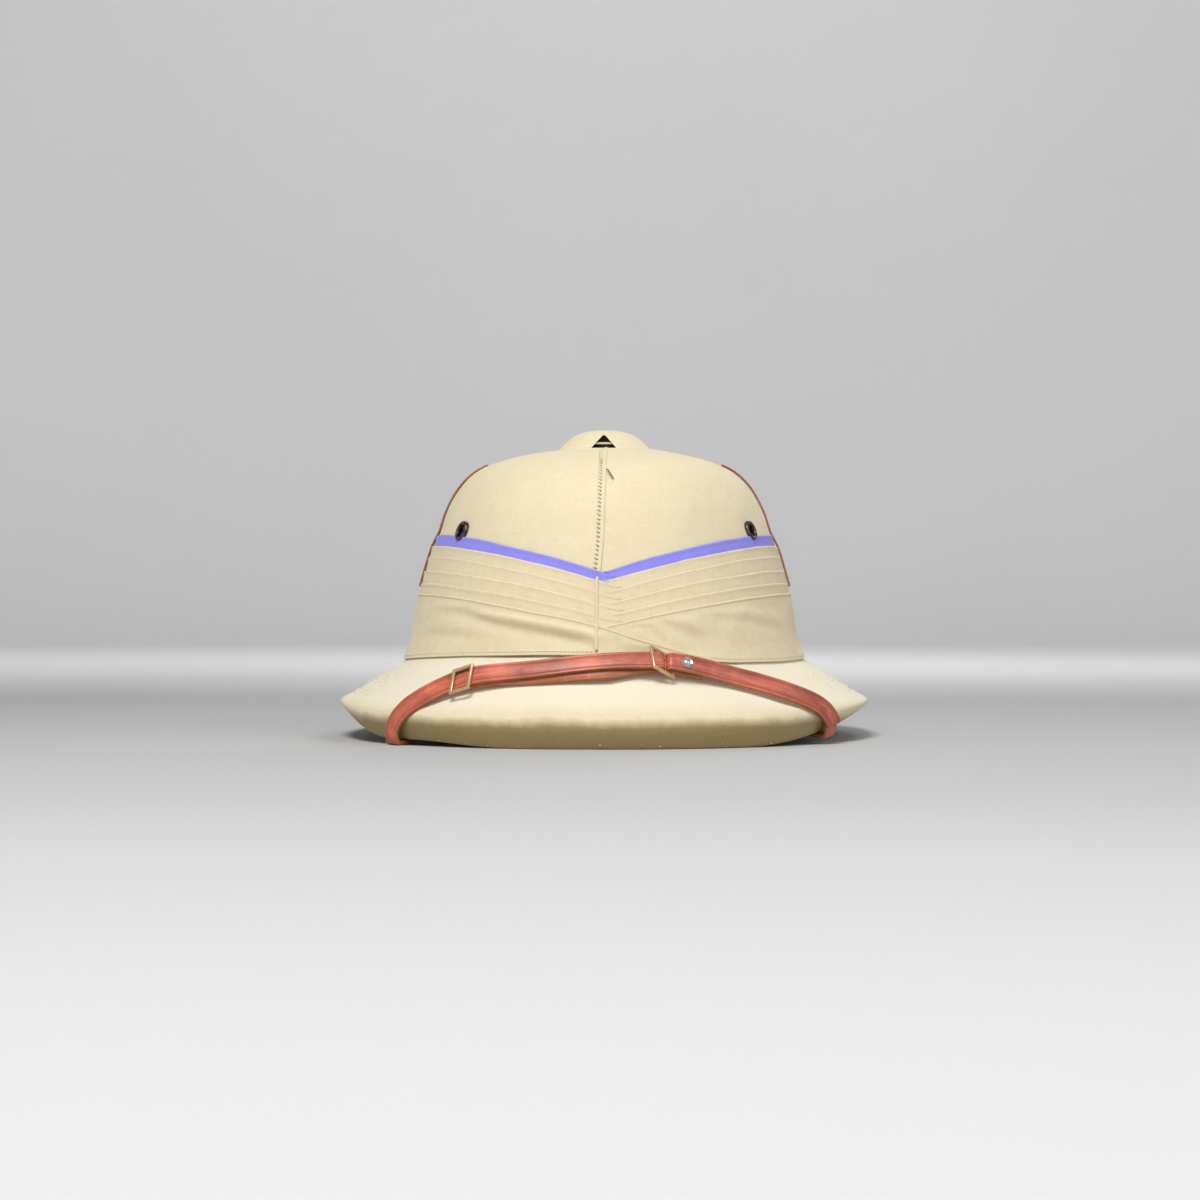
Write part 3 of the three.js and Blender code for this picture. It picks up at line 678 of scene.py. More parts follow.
def strap_leather(name):
    """Polished leather with a mottled colour, fine grain, tooled lines and paler cut edges."""
    nodes = Nodes(name)
    base = colours().leather
    edge, line = (
        nodes.add("ShaderNodeAttribute", attribute_name=mark).outputs["Fac"]
        for mark in ("cut_edge", "tooled_line")
    )
    patches = nodes.noise(nodes.space, 45.0, 3.0, 0.6)
    grain = nodes.noise(nodes.space, 1500.0, 3.0, 0.6)
    scuffs = nodes.noise(nodes.scaled(nodes.flat, (60.0, 900.0, 1.0)), 1.0, 3.0, 0.65)
    hide = nodes.tint(nodes.spread(patches, 0.35, 0.7), base, (0.62, 0.6, 0.6), (1.5, 1.5, 1.35))
    hide = nodes.mix(nodes.spread(scuffs, 0.5, 0.75, 0.0, 0.55), hide, tone(base, (1.9, 2.4, 2.4)))
    hide = nodes.mix(nodes.math("MULTIPLY", line, 0.55), hide, tone(base, (0.4, 0.35, 0.35)))
    fibres = nodes.tint(nodes.spread(scuffs, 0.35, 0.65), colours().raw_edge, (0.55, 0.5, 0.45), 1.2)
    gloss = nodes.spread(scuffs, 0.3, 0.8, 0.36, 0.58)
    roughness = nodes.math("ADD", gloss, nodes.math("MULTIPLY", edge, 0.35))
    normal = nodes.bump(nodes.noise(nodes.space, 260.0), 0.0004, 0.35)
    normal = nodes.bump(grain, 0.00012, 0.5, normal)
    hide = nodes.mix(edge, hide, fibres)
    return nodes.finished(hide, roughness, normal, Coat_Weight=0.15, Coat_Roughness=0.25)


def plain_leather(name, base):
    nodes = Nodes(name)
    patches = nodes.noise(nodes.space, 120.0, 3.0)
    normal = nodes.bump(nodes.noise(nodes.space, 1200.0), 0.0001, 0.6)
    roughness = nodes.spread(patches, 0.3, 0.7, 0.5, 0.75)
    return nodes.finished(nodes.tint(patches, base, 0.7, 1.2), roughness, normal)


def metal(name, base, dull, wear_scale=180.0, shine=1.0):
    """Handled metal: a duller patina in patches, and fine scratches in its gloss."""
    nodes = Nodes(name)
    patina = nodes.noise(nodes.space, wear_scale, 4.0, 0.65)
    scratches = nodes.noise(nodes.scaled(nodes.space, (4000.0, 600.0, 900.0)), 1.0)
    worn = nodes.mix(nodes.spread(patina, 0.42, 0.66), tone(base, 1.1), tone(dull, 1.0))
    roughness = nodes.spread(patina, 0.3, 0.7, 0.22, 0.5)
    return nodes.finished(worn, roughness, nodes.bump(scratches, 0.00004, 0.5), Metallic=shine)


def thread_finish(name, base):
    nodes = Nodes(name)
    ply = nodes.noise(nodes.space, 2600.0)
    twisted = nodes.tint(ply, base, (0.75, 0.73, 0.7), 1.15)
    return nodes.finished(twisted, nodes.spread(ply, 0.0, 1.0, 0.65, 0.9), nodes.bump(ply, 0.00008, 0.6))


# Shell cover

# The lining inside the crown, from its foot up: height, and how much lower it lies than the face outside.
LINING = (
    (0.041, 0.0),
    (0.05, 0.0),
    (0.066, 0.0),
    (0.085, 0.0),
    (0.105, 0.0),
    (0.12, 0.0),
    (0.13, 0.0),
    (0.1382, 0.001),
    (0.1423, 0.003),
    (0.145, 0.0045),
    (0.1502, 0.0065),
    (0.1537, 0.007),
)
# The rim's face and underside: inset from the brim's tip, and share of its drop or height above the rim.
RIM_FACE = ((-0.0003, 0.78), (0.0008, 0.5), (0.0026, 0.24))
RIM_UNDER = ((0.0044, 0.0002), (0.0056, 0.0), (0.0068, 0.0), (0.0082, 0.0006))
VENT_HEM = 0.006
BAND_SINK = 0.0009
INSIDE_FROM = 0.66
EYELET_BORE = 0.0036


def shell_section(degrees):
    """The shell's closed section: down the outside, round the rim and up the inside."""
    phi = np.radians(degrees)
    level = np.full_like(degrees, CROWN_TOP)
    top = [
        np.stack([radius * np.sin(phi), CAP_MIDDLE - radius * np.cos(phi), level], axis=-1)
        for radius in (VENT_RADIUS, VENT_RADIUS + VENT_HEM)
    ]
    heights = np.interp(np.linspace(0, 1, 40), np.linspace(0, 1, len(CROWN_CURVE)), CROWN_CURVE[::-1, 0])
    root = hem_height(degrees) - ROOT_BELOW_HEM
    shares = (heights - CROWN_BASE) / (CROWN_TOP - CROWN_BASE)
    crown = [crown_point(degrees, root + (CROWN_TOP - root) * share) for share in shares]
    slopes = [brim_slope(degrees, share) for share in (0.1, 0.24, 0.42, 0.6, 0.77, 0.89)]
    bend = brim_point(degrees, BEND_INSET - 0.0006, bend_height(degrees) + 0.0006)
    rim = rim_height(degrees)
    drop = bend_height(degrees) - rim
    face = [brim_point(degrees, inset, rim + drop * share) for inset, share in RIM_FACE]
    under_rim = [brim_point(degrees, inset, rim + lift) for inset, lift in RIM_UNDER]
    under_bend = brim_point(degrees, BEND_INSET + BRIM_WALL, bend_height(degrees) - BRIM_WALL * 0.9)
    under = under_slope(degrees, 0.5, 0.9, BRIM_WALL)
    lining = [crown_point(degrees, z, -CROWN_WALL) - np.array([0, 0, lower]) for z, lower in LINING]
    hole = top[0] - np.array([0, 0, CROWN_WALL])
    rows = [*top, *crown, *slopes, bend, *face, *under_rim, under_bend, under, *lining, hole]
    section = rounded_rows(np.array(rows), 2)
    return np.concatenate([section, section[:1]])


def cover_uv(points, panels=(0.0, 90.0, 180.0, 270.0, 360.0)):
    """Cloth cut in panels: measured round from each panel's middle, and along the arc the other way."""
    arc = np.concatenate([[0], np.cumsum(np.linalg.norm(np.diff(points[:, 0], axis=0), axis=1))])
    rows = len(points) - 1
    spread = np.hypot(points[..., 0], points[..., 1] - CROWN_MIDDLE).mean(axis=1)

    def flat(uv):
        corners = uv.reshape(-1, 4, 2)
        degrees = corners[..., 0] * 360
        panel = np.digitize(degrees.mean(axis=1), panels) - 1
        middle = (np.array(panels)[panel] + np.array(panels)[panel + 1]) / 2
        row = np.rint(corners[..., 1] * rows).astype(int)
        u = spread[row] * np.radians(degrees - middle[:, None])
        return np.stack([u, arc[row]], axis=-1).reshape(-1, 2)

    return flat


def cut_away(piece, tools):
    for tool in tools:
        apply_modifier(piece, "BOOLEAN", operation="DIFFERENCE", solver="EXACT", object=tool)
        bpy.data.objects.remove(tool)


def drill(place, way, radius, depth):
    tool = added("cylinder", vertices=32, radius=radius, depth=depth)
    tool.matrix_world = Vector(way).to_track_quat("Z", "Y").to_matrix().to_4x4()
    tool.location = Vector(place)
    bpy.context.view_layer.update()
    return tool


def under_band(degrees, heights):
    """Where the band lies over the cover, which gives way a little there."""
    hem, top = hem_height(degrees), fold_height(0, np.abs(from_front(degrees - DIP_ANGLE)))
    above_hem = smoothstep(heights, hem + 0.001, hem + 0.004)
    return above_hem * (1 - smoothstep(heights, top - 0.0035, top - 0.0015))


class HELMET_OT_cover(bpy.types.Operator):
    """Cover the crown and brim in cloth, down round the rim and up inside"""

    bl_idname = "helmet.cover"
    bl_label = "Shell Cover"

    def execute(self, context):
        degrees = np.linspace(0, 360, 561)
        points = shell_section(degrees)
        inside = slice(int(len(points) * INSIDE_FROM), None)
        outward = unit(points - np.array([0, CROWN_MIDDLE, 0.06]))
        weight = np.ones(len(points))
        weight[inside] = 0.5
        soft = unevenness(points, 0.05, 3) * 0.00035 + unevenness(points, 0.016, 5) * 0.00012
        sink = under_band(degrees, points[..., 2]) * BAND_SINK
        sink[inside] = 0
        points = points + outward * (soft * weight[:, None] - sink)[..., None]
        points[:, -1] = points[:, 0]
        piece = laid_grid("shell_cover", points[::-1], cover_uv(points[::-1]), (True, True))
        holes = []
        for _, angle, z in EYELETS:
            place, _, out = crown_frame(angle, z)
            holes.append(drill(place, out, EYELET_BORE, 0.04))
        cut_away(piece, holes)
        shade(piece, 60)
        finish_piece(piece, cover_finish("cover_cloth"), "cover_cloth", "helmet_shell")
        return {"FINISHED"}


# Vent cap

CAP_PROFILE = (
    (0.0, 1.0),
    (0.2, 0.98),
    (0.36, 0.935),
    (0.5, 0.855),
    (0.62, 0.74),
    (0.74, 0.555),
    (0.85, 0.34),
    (0.94, 0.15),
    (1.0, 0.0),
)
CAP_RADIUS, CAP_BASE, CAP_WALL = 0.0263, 0.1534, 0.0018
COLLAR_SECTION = ((0.0126, -0.001), (0.0126, 0.0068), (0.0132, 0.0074), (0.0138, 0.0068), (0.0138, -0.001))
RING_RADIUS, RING_THREAD, RING_LIFT = 0.0196, 0.0006, 0.0037
WINDOW_HALF, WINDOW_POINT, WINDOW_SILL, WINDOW_APEX = 0.0067, 0.0007, 0.001, 0.0082


def turned(name, section):
    """A section of radius and height turned about the vent's middle."""
    phi = np.linspace(0, 2 * np.pi, 145)
    r, h = section[:, :1], section[:, 1:]
    points = np.stack([r * np.sin(phi), CAP_MIDDLE - r * np.cos(phi), CAP_BASE + h + 0 * phi], axis=-1)
    closed = bool((section[0] == section[-1]).all())
    return laid_grid(name, points[::-1], (0.16, 0.06), (True, closed))


class HELMET_OT_vent(bpy.types.Operator):
    """Make the cloth-covered vent cap with its four pointed windows, and the collar inside it, near-black as
    painted shade for the vent's dark inside
    """

    bl_idname = "helmet.vent"
    bl_label = "Vent Cap"

    def execute(self, context):
        _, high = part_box("vent_cap")
        height = high.z - 0.0001 - CAP_BASE
        profile = curve_through(CAP_PROFILE, np.linspace(0, len(CAP_PROFILE) - 1, 34)[1:])
        inner = profile[::-1] * (1 - CAP_WALL / CAP_RADIUS, 1 - CAP_WALL / height)
        cap = turned("vent_cap_cover", np.concatenate([profile, inner]) * (CAP_RADIUS, height))
        in_edit_mode(cap, fill_ends)
        cut_away(cap, [self.window(index * math.pi / 2) for index in range(4)])
        shade(cap, 50)
        finish_piece(cap, cloth("cap_cloth", colours().cover, 0.6), "cover_cloth", "vent_cap")
        collar = turned("vent_collar", np.array(COLLAR_SECTION + COLLAR_SECTION[:1]))
        shade(collar, 40)
        # The collar's near-black colour is painted shade: it stands for the shade inside the vent, seen
        # through the windows.
        finish_piece(collar, plain_leather("vent_collar_painted_shade", (0.035, 0.024, 0.014)), "cover_cloth")
        torus = added(
            "torus",
            location=(0, CAP_MIDDLE, CAP_BASE + RING_LIFT),
            major_radius=RING_RADIUS,
            minor_radius=RING_THREAD,
            major_segments=96,
            minor_segments=10,
        )
        ring = named("vent_ring", torus)
        bpy.ops.object.transform_apply(location=True)
        shade(ring)
        finish_piece(ring, thread_finish("ring_cloth", colours().thread), "cover_cloth")
        return {"FINISHED"}

    def window(self, turn):
        """A cutter for one pointed window, from inside the collar to beyond the cap."""
        tool = added("cube", size=1)
        for vertex in tool.data.vertices:
            side = 1 if vertex.co.x > 0 else -1
            half, z = (WINDOW_POINT, WINDOW_APEX) if vertex.co.z > 0 else (WINDOW_HALF, WINDOW_SILL)
            depth = CAP_RADIUS * (1.3 if vertex.co.y < 0 else 0.42)
            place = Matrix.Rotation(turn, 3, "Z") @ Vector((side * half, -depth, z))
            vertex.co = place + Vector((0, CAP_MIDDLE, CAP_BASE))
        return tool


# Seams, side strips and stitches


# Sections of the narrow bands: share of the half width, and how far the face rises there.
TAPE_BULGE = ((-1, 0), (-0.9, 0.00025), (-0.5, 0.0004), (0.5, 0.0004), (0.9, 0.00025), (1, 0))
WELT_BULGE = ((-1, 0), (-0.6, 0.0006), (0, 0.0008), (0.6, 0.0006), (1, 0))
FELL_BULGE = ((-1, 0), (-0.6, 0.00015), (-0.2, 0.0003), (0.3, 0.0005), (0.85, 0.0007), (0.97, 0.0005), (1, 0))


SEAM_LINE = ((0.088, -0.3), (0.103, 0.5), (0.1235, 0.9), (0.151, 1.4))
SEAM_TOP, STITCHES_TOP, HOLES_TOP = 0.1536, 0.1515, 0.1455
LOOSE_THREAD = ((2.3, 0.1392, 0.0012), (3.0, 0.1375, 0.0022), (4.2, 0.1352, 0.0016), (5.2, 0.134, 0.0006))
TAPE_WIDTH, TAPE_FOOT, TAPE_TOP = 0.007, 0.0795, 0.1455


def seam_frame(angle, z):
    """Place, way round, way up and way out of the crown where a seam passes a height."""
    place, round_, out = crown_frame(angle(z) if callable(angle) else angle, z)
    return place, round_, np.cross(out, round_), out


def lay_strip(name, angle, width, heights, lift, section, thickness):
    """A narrow band of cloth down the crown, with a section of shares across and rises."""
    line = []
    for z in heights:
        place, round_, _, out = seam_frame(angle, z)
        line.append([place + round_ * share * width / 2 + out * (lift(z) + rise) for share, rise in section])
    points = np.array(line)
    piece = laid_grid(name, points, (width, path_length(points[:, 0])))
    thicken(piece, thickness)
    return piece


def stitch_spots(angle, foot, top):
    """Height and frame of each stitch up a seam, one stitch pitch apart along the cloth."""
    z = foot
    while z < top:
        place, round_, up, out = seam_frame(angle, z)
        yield z, place, round_, up, out
        z += sizes().stitch * max(0.2, up[2])


def seam_angle(z):
    return float(np.interp(z, *zip(*SEAM_LINE)))


class HELMET_OT_seams(bpy.types.Operator):
    """Raise the felled seams before and behind, with their whipped stitches and a loose thread"""

    bl_idname = "helmet.seams"
    bl_label = "Crown Seams"

    def execute(self, context):
        cover = cloth("seam_cloth", colours().cover, 0.7)
        thread = thread_finish("seam_thread", colours().thread)
        rows = np.interp(np.linspace(0, 1, 90), np.linspace(0, 1, len(CROWN_CURVE)), CROWN_CURVE[:, 0])
        for name, angle, foot in (("crown_seam_front", seam_angle, 0.085), ("crown_seam_back", 180.0, 0.105)):
            heights = rows[(rows > foot) & (rows < SEAM_TOP)]
            strip = lay_strip(f"{name}_fell", angle, 0.0029, heights, lambda z: 0.0001, FELL_BULGE, 0.0006)
            shade(strip)
            finish_piece(strip, cover, "cover_cloth", name)
            self.stitches(f"{name}_stitches", angle, foot + 0.002, thread)
        self.loose_thread()
        return {"FINISHED"}

    def stitches(self, name, angle, foot, thread):
        """Whipped stitches over the fell's left edge, each with a dark mark of painted shade for the hole
        that its needle made.
        """
        threads, holes = [], []
        for z, place, round_, up, out in stitch_spots(angle, foot, STITCHES_TOP):
            slant = unit(round_ * 0.85 - up * 0.5)
            threads.append(frame_matrix(place - round_ * 0.0017 + out * 0.0005, slant, out))
            if z < HOLES_TOP:
                holes.append(frame_matrix(place - round_ * 0.0009 - up * 0.0008 + out * 0.00028, round_, out))
        sew(name, (0.0021, sizes().thread * 1.5), threads, thread, "cover_cloth")
        # The holes are small dark blobs on the cloth: their colour is painted shade for the holes.
        dark = thread_finish("needle_hole_painted_shade", (0.09, 0.065, 0.04))
        sew(f"{name}_holes", (0.0007, 0.0006), holes, dark, "cover_cloth")

    def loose_thread(self):
        route = []
        for angle, z, lift in LOOSE_THREAD:
            place, _, out = crown_frame(angle, z)
            route.append(place + out * lift)
        piece = tube("seam_loose_thread", curve_through(route, np.linspace(0, 3, 20)), 0.00035, 8)
        finish_piece(piece, thread_finish("dark_thread", (0.12, 0.11, 0.1)), "cover_cloth")


def tube(name, path, radius, sides):
    """A round thread along a path, closed at its ends."""
    along = unit(np.gradient(path, axis=0))
    side = unit(np.cross(along, np.array([0.31, 0.17, 0.93])))
    other = np.cross(along, side)
    turn = np.linspace(0, 2 * np.pi, sides + 1)[:, None, None]
    thin = np.sin(np.linspace(0, np.pi, len(path))) ** 0.25
    points = path + (side * np.cos(turn) + other * np.sin(turn)) * radius * np.maximum(thin, 0.05)[:, None]
    piece = laid_grid(name, points, (0.01, 0.01), (False, True))
    in_edit_mode(piece, fill_ends, face_outward)
    shade(piece)
    return piece


class HELMET_OT_side_strips(bpy.types.Operator):
    """Lay the tan tape down over each side seam and the band; its tan is partly painted warm rim light along
    the outline
    """

    bl_idname = "helmet.side_strips"
    bl_label = "Side Strips"

    def execute(self, context):
        # The tape's tan is partly painted warm rim light along the outline.
        finish = cloth("seam_tape_painted_rim_light", colours().tan)
        thread = thread_finish("tape_thread", tone(colours().tan, (0.55, 0.5, 0.45))[:3])
        heights = np.linspace(TAPE_FOOT, TAPE_TOP, 90)
        for name, angle in (("side_strip_left", 87.5), ("side_strip_right", -88.0)):
            strip = lay_strip(f"{name}_tape", angle, TAPE_WIDTH, heights, self.lift, TAPE_BULGE, 0.0009)
            shade(strip, 50)
            finish_piece(strip, finish, "tan_strip", name)
            matrices = [
                frame_matrix(place + round_ * side * 0.0024 + out * (self.lift(z) + 0.00022), up, out)
                for side in (-1, 1)
                for z, place, round_, up, out in stitch_spots(angle, TAPE_FOOT + 0.0015, TAPE_TOP - 0.0015)
            ]
            sew(f"{name}_stitches", (0.0017, sizes().thread), matrices, thread, "tan_strip")
        return {"FINISHED"}

    def lift(self, z):
        return float(np.interp(z, *zip(*STRIP_LIFT)))


# Eyelets


def spun(name, section, steps, place, round_, out):
    """A round piece spun from a closed section of radius and height."""
    piece = named(name, added("circle", vertices=len(section), radius=1))
    for vertex, (radius, height) in zip(piece.data.vertices, section):
        vertex.co = (radius, 0, height)
    in_edit_mode(
        piece,
        lambda: bpy.ops.mesh.spin(steps=steps, angle=2 * math.pi, center=(0, 0, 0), axis=(0, 0, 1)),
        merge_doubles,
        face_outward,
    )
    piece.data.transform(frame_matrix(place, round_, out))
    shade(piece, 40)
    return piece


class HELMET_OT_eyelets(bpy.types.Operator):
    """Roll the two metal eyelets"""

    bl_idname = "helmet.eyelets"
    bl_label = "Eyelets"

    def execute(self, context):
        finish = metal("eyelet_metal", colours().bronze, (0.05, 0.035, 0.04), 420.0)
        section = self.section(hole=0.0033, flange=0.0054, thickness=0.0009, depth=0.0034)
        for side, angle, z in EYELETS:
            place, round_, out = crown_frame(angle, z)
            piece = spun(f"eyelet_{side}_ring", section, 56, place + out * 0.0009, round_, out)
            finish_piece(piece, finish, "eyelet_metal", f"eyelet_{side}")
        return {"FINISHED"}

    def section(self, hole, flange, thickness, depth):
        """A rolled flange with a skirt outside and a barrel that goes through the cloth."""
        middle, half = (hole + flange) / 2, (flange - hole) / 2
        arc = [
            (middle + half * math.cos(turn), thickness * math.sin(turn) ** 0.8)
            for turn in np.linspace(0, math.pi, 13)
        ]
        return [*arc, (hole, -depth), (hole + 0.0005, -depth), (hole + 0.0006, -0.0012), (flange, -0.0012)]


# Band


def dip(from_dip):
    """What is left of a fold line's dip at an angle from its lowest point; it runs on straight past it."""
    inside = np.maximum(0.0, 1 - np.maximum(from_dip, 0) / DIP_SPREAD) ** 2
    return np.where(from_dip < 0, 1 - 2 * from_dip / DIP_SPREAD, inside)


def fold_height(index, from_dip):
    side, front = FOLD_LINES[index]
    return side - (side - front) * dip(from_dip)


def band_angles(start, end, fine_to=40.0):
    """Angles round the helmet from the dip, closer together near the front."""
    near = np.arange(start, fine_to, 0.4)
    back = np.arange(fine_to, 360 - fine_to, 0.8)
    return np.concatenate([near, back, np.arange(360 - fine_to, end + 0.2, 0.4)])


def fold_section(top, low, tuck=0.003):
    """Heights and offsets of a fold's cloth at each angle, from its foot over its rolled top and back in."""
    full = np.clip((top - low) / 0.0042, 0.3, 1.0)
    knots = (
        (low - tuck, 0.0003),
        (low, 0.0007 * full),
        (low + (top - low) * 0.5, 0.0009 * full),
        (top - 0.0016 * full, 0.0011 * full),
        (top - 0.0007 * full, 0.0013 * full),
        (top - 0.0002 * full, 0.0012 * full),
        (top, 0.0009 * full),
        (top - 0.0004 * full, 0.0004 * full),
        (top - 0.0014 * full, 0.0),
        (top - 0.003 * full, -0.0001),
    )
    heights = np.array([np.broadcast_to(z, top.shape) for z, _ in knots])
    offsets = np.array([np.broadcast_to(o, top.shape) for _, o in knots])
    return heights, offsets


def sampled(knots, samples):
    """Smooth columns through rows of knots."""
    at = np.linspace(0, len(knots) - 1, (len(knots) - 1) * samples + 1)
    low = np.clip(at.astype(int), 0, len(knots) - 2)
    t = (at - low)[:, None]
    padded = np.concatenate([2 * knots[:1] - knots[1:2], knots, 2 * knots[-1:] - knots[-2:-1]])
    p0, p1, p2, p3 = (padded[low + k] for k in range(4))
    return 0.5 * (
        2 * p1 + (p2 - p0) * t + (2 * p0 - 5 * p1 + 4 * p2 - p3) * t**2 + (3 * p1 - p0 - 3 * p2 + p3) * t**3
    )


EYELET_OPENING = 0.0042


class HELMET_OT_folds(bpy.types.Operator):
    """Fold the blue stripe and the cream pleats, crossing at the front"""

    bl_idname = "helmet.folds"
    bl_label = "Stripe and Pleats"

    def execute(self, context):
        blue = cloth("blue_cloth", colours().blue, 0.35), "blue_cloth", 0.011
        cream = cloth("band_cloth", colours().band, 0.8), "band_cloth", 0.013
        folds = [("stripe_fold", "pugaree_stripe", blue)]
        folds += [(f"pleat_fold_{index}", f"pugaree_pleat_{index}", cream) for index in range(1, 5)]
        for index, (name, node, (finish, slot, width)) in enumerate(folds):
            piece, round_length = self.fold(index, name)
            shade(piece, 60)
            finish_piece(piece, finish, slot, node)
        return {"FINISHED"}

    def fold(self, index, name):
        """One fold and its length, from its right end at the dip, round the back, to its left end."""
        (side, front), (side_below, front_below) = FOLD_LINES[index : index + 2]
        slope = (side - front) * 2 / DIP_SPREAD + (side_below - front_below) * 2 / DIP_SPREAD
        reach = (front - front_below) / slope
        angles = band_angles(0.0, 360.0 + reach)
        from_dip = np.where(angles <= 180, angles, 360 - angles)
        top = fold_height(index, from_dip)
        below = fold_height(index + 1, np.abs(from_dip))
        own_left = fold_height(index, -angles)
        low = np.where(angles <= 180, np.maximum(below, own_left), below)
        under = 1 - smoothstep(angles, reach * 0.6, reach * 1.6)
        spots = crown_point(angles + DIP_ANGLE, top)
        top = top + unevenness(spots, 0.045, 20 + index) * 0.00018
        top = top + unevenness(spots, 0.012, 30 + index) * 0.00006
        heights, offsets = fold_section(top, np.minimum(low, top - 0.0002))
        offsets = offsets + FOLD_OUT[index] - 0.0003 * under + unevenness(spots, 0.02, 40 + index) * 0.00009
        points = crown_point(angles[None] + DIP_ANGLE, sampled(heights, 3), sampled(offsets, 3))
        round_length = path_length(points[9])
        piece = laid_grid(name, points, (round_length, path_length(points[:, 200])))
        if index == 0:
            self.open_for_eyelets(piece)
        thicken(piece, sizes().cloth)
        return piece, round_length

    def open_for_eyelets(self, piece):
        """Cut the cloth away inside the eyelets; their flanges cover its edge."""
        cloth_mesh = bmesh.new()
        cloth_mesh.from_mesh(piece.data)
        for _, angle, z in EYELETS:
            place, _, out = (Vector(part) for part in crown_frame(angle, z))
            aside = ((v, v.co - place) for v in cloth_mesh.verts)
            inside = [v for v, away in aside if (away - out * away.dot(out)).length < EYELET_OPENING]
            bmesh.ops.delete(cloth_mesh, geom=inside, context="VERTS")
        cloth_mesh.to_mesh(piece.data)
        cloth_mesh.free()


# The wrap's rolled top: how far below its line, and how far out, from the outside over the top and in.
WRAP_ROLL = (
    (0.0018, 0.0028),
    (0.0013, 0.0029),
    (0.0008, 0.0032),
    (0.0002, 0.0031),
    (0.0, 0.0026),
    (0.0005, 0.002),
    (0.002, 0.0014),
    (0.006, 0.001),
)
METRES_A_DEGREE = 0.00195


class HELMET_OT_wrap(bpy.types.Operator):
    """Lay the broad lower wrap, with its creases, hem and the crossing end"""

    bl_idname = "helmet.wrap"
    bl_label = "Lower Wrap"

    def execute(self, context):
        angles = band_angles(-3.0, 360.0 + WRAP_TAIL[-1][0] - DIP_ANGLE - 0.2)
        round_ = angles + DIP_ANGLE
        from_dip = np.where(angles <= 180, np.abs(angles), np.abs(360 - angles))
        tail = np.interp(angles - 360 + DIP_ANGLE, *zip(*WRAP_TAIL))
        top = np.where(angles > 360, tail, fold_height(5, from_dip))
        top = top + unevenness(crown_point(round_, top), 0.05, 71) * 0.0002
        lift = smoothstep(angles, 318, 352) * 0.0007
        share = np.linspace(0, 1, 33)[:, None]
        hem = hem_height(round_)
        body_z = hem + (top - 0.0026 - hem) * share
        puff = 0.0021 + 0.0007 * smoothstep(share, 0.3, 0.95) + 0 * top
        below_top, roll_out = np.array(WRAP_ROLL).T[..., None]
        heights = np.concatenate([body_z, sampled(top - below_top, 2)])
        heights = np.maximum(heights, hem - ROOT_BELOW_HEM)
        offsets = np.concatenate([puff, sampled(roll_out + 0 * top, 2)])
        body = smoothstep(share, 0.05, 0.2) * (1 - smoothstep(share, 0.85, 1.0))
        relief = self.creases(from_front(round_), body_z) * body
        offsets[: len(share)] += relief
        offsets = offsets + lift
        spots = crown_point(round_[None], heights, offsets)[: len(share)]
        soft = unevenness(spots, 0.03, 72) * 0.00035 + unevenness(spots, 0.009, 73) * 0.0001
        offsets[: len(share)] += soft * body
        points = crown_point(round_[None], heights, offsets)
        round_length = path_length(points[10])
        piece = laid_grid("wrap_cloth", points, (round_length, 0.048))
        thicken(piece, 0.0008)
        shade(piece, 60)
        finish_piece(piece, cloth("wrap_cotton", colours().band, 0.9), "band_cloth", "pugaree_wrap")
        self.hem_stitches(angles, lift)
        return {"FINISHED"}

    def creases(self, degrees, heights):
        """Soft valleys and ridges along the crease lines, with a gentle ridge beside each."""
        relief = np.zeros(np.broadcast_shapes(degrees.shape, heights.shape))
        for from_angle, from_z, to_angle, to_z, width, depth in CREASES:
            start = np.array([from_angle * METRES_A_DEGREE, from_z])
            end = np.array([to_angle * METRES_A_DEGREE, to_z])
            reach = np.linalg.norm(end - start)
            way = (end - start) / reach
            right, up = degrees * METRES_A_DEGREE - start[0], heights - start[1]
            along = right * way[0] + up * way[1]
            bow = 0.0012 * np.sin(np.pi * np.clip(along / reach, 0, 1))
            away = up * way[0] - right * way[1] - bow
            fade = smoothstep(along, -0.004, reach * 0.25)
            fade = fade * (1 - smoothstep(along, reach * 0.8, reach + 0.004))
            ridge = 0.75 * np.exp(-(((away - 1.7 * width) / width) ** 2))
            relief -= depth * fade * (np.exp(-((away / width) ** 2)) - ridge)
        return relief

    def hem_stitches(self, angles, lift):
        matrices = []
        for angle in np.arange(-2.0, 358.0, 1.15):
            degrees = angle + DIP_ANGLE
            height = float(hem_height(degrees)) + 0.0016
            place = crown_point(degrees, height, 0.0022 + float(np.interp(angle, angles, lift)))
            _, round_, out = crown_frame(degrees, height)
            matrices.append(frame_matrix(place + out * 0.0001, round_, out))
        thread = thread_finish("hem_thread", colours().thread)
        sew("hem_stitches", (0.0017, 0.0004), matrices, thread, "band_cloth")


class HELMET_OT_welt(bpy.types.Operator):
    """Sew the thin welt down the front over the folds"""

    bl_idname = "helmet.welt"
    bl_label = "Front Welt"

    def execute(self, context):
        heights = np.linspace(0.0465, 0.0835, 80)
        piece = lay_strip("front_welt", -0.5, 0.0015, heights, self.lift, WELT_BULGE, 0.0007)
        shade(piece, 60)
        finish_piece(piece, cloth("welt_cloth", colours().cover, 0.4), "band_cloth", "pugaree_front_welt")
        return {"FINISHED"}

    def lift(self, z):
        return 0.0025 + 0.0011 * float(1 - smoothstep(z, 0.058, 0.062))


# Chin strap


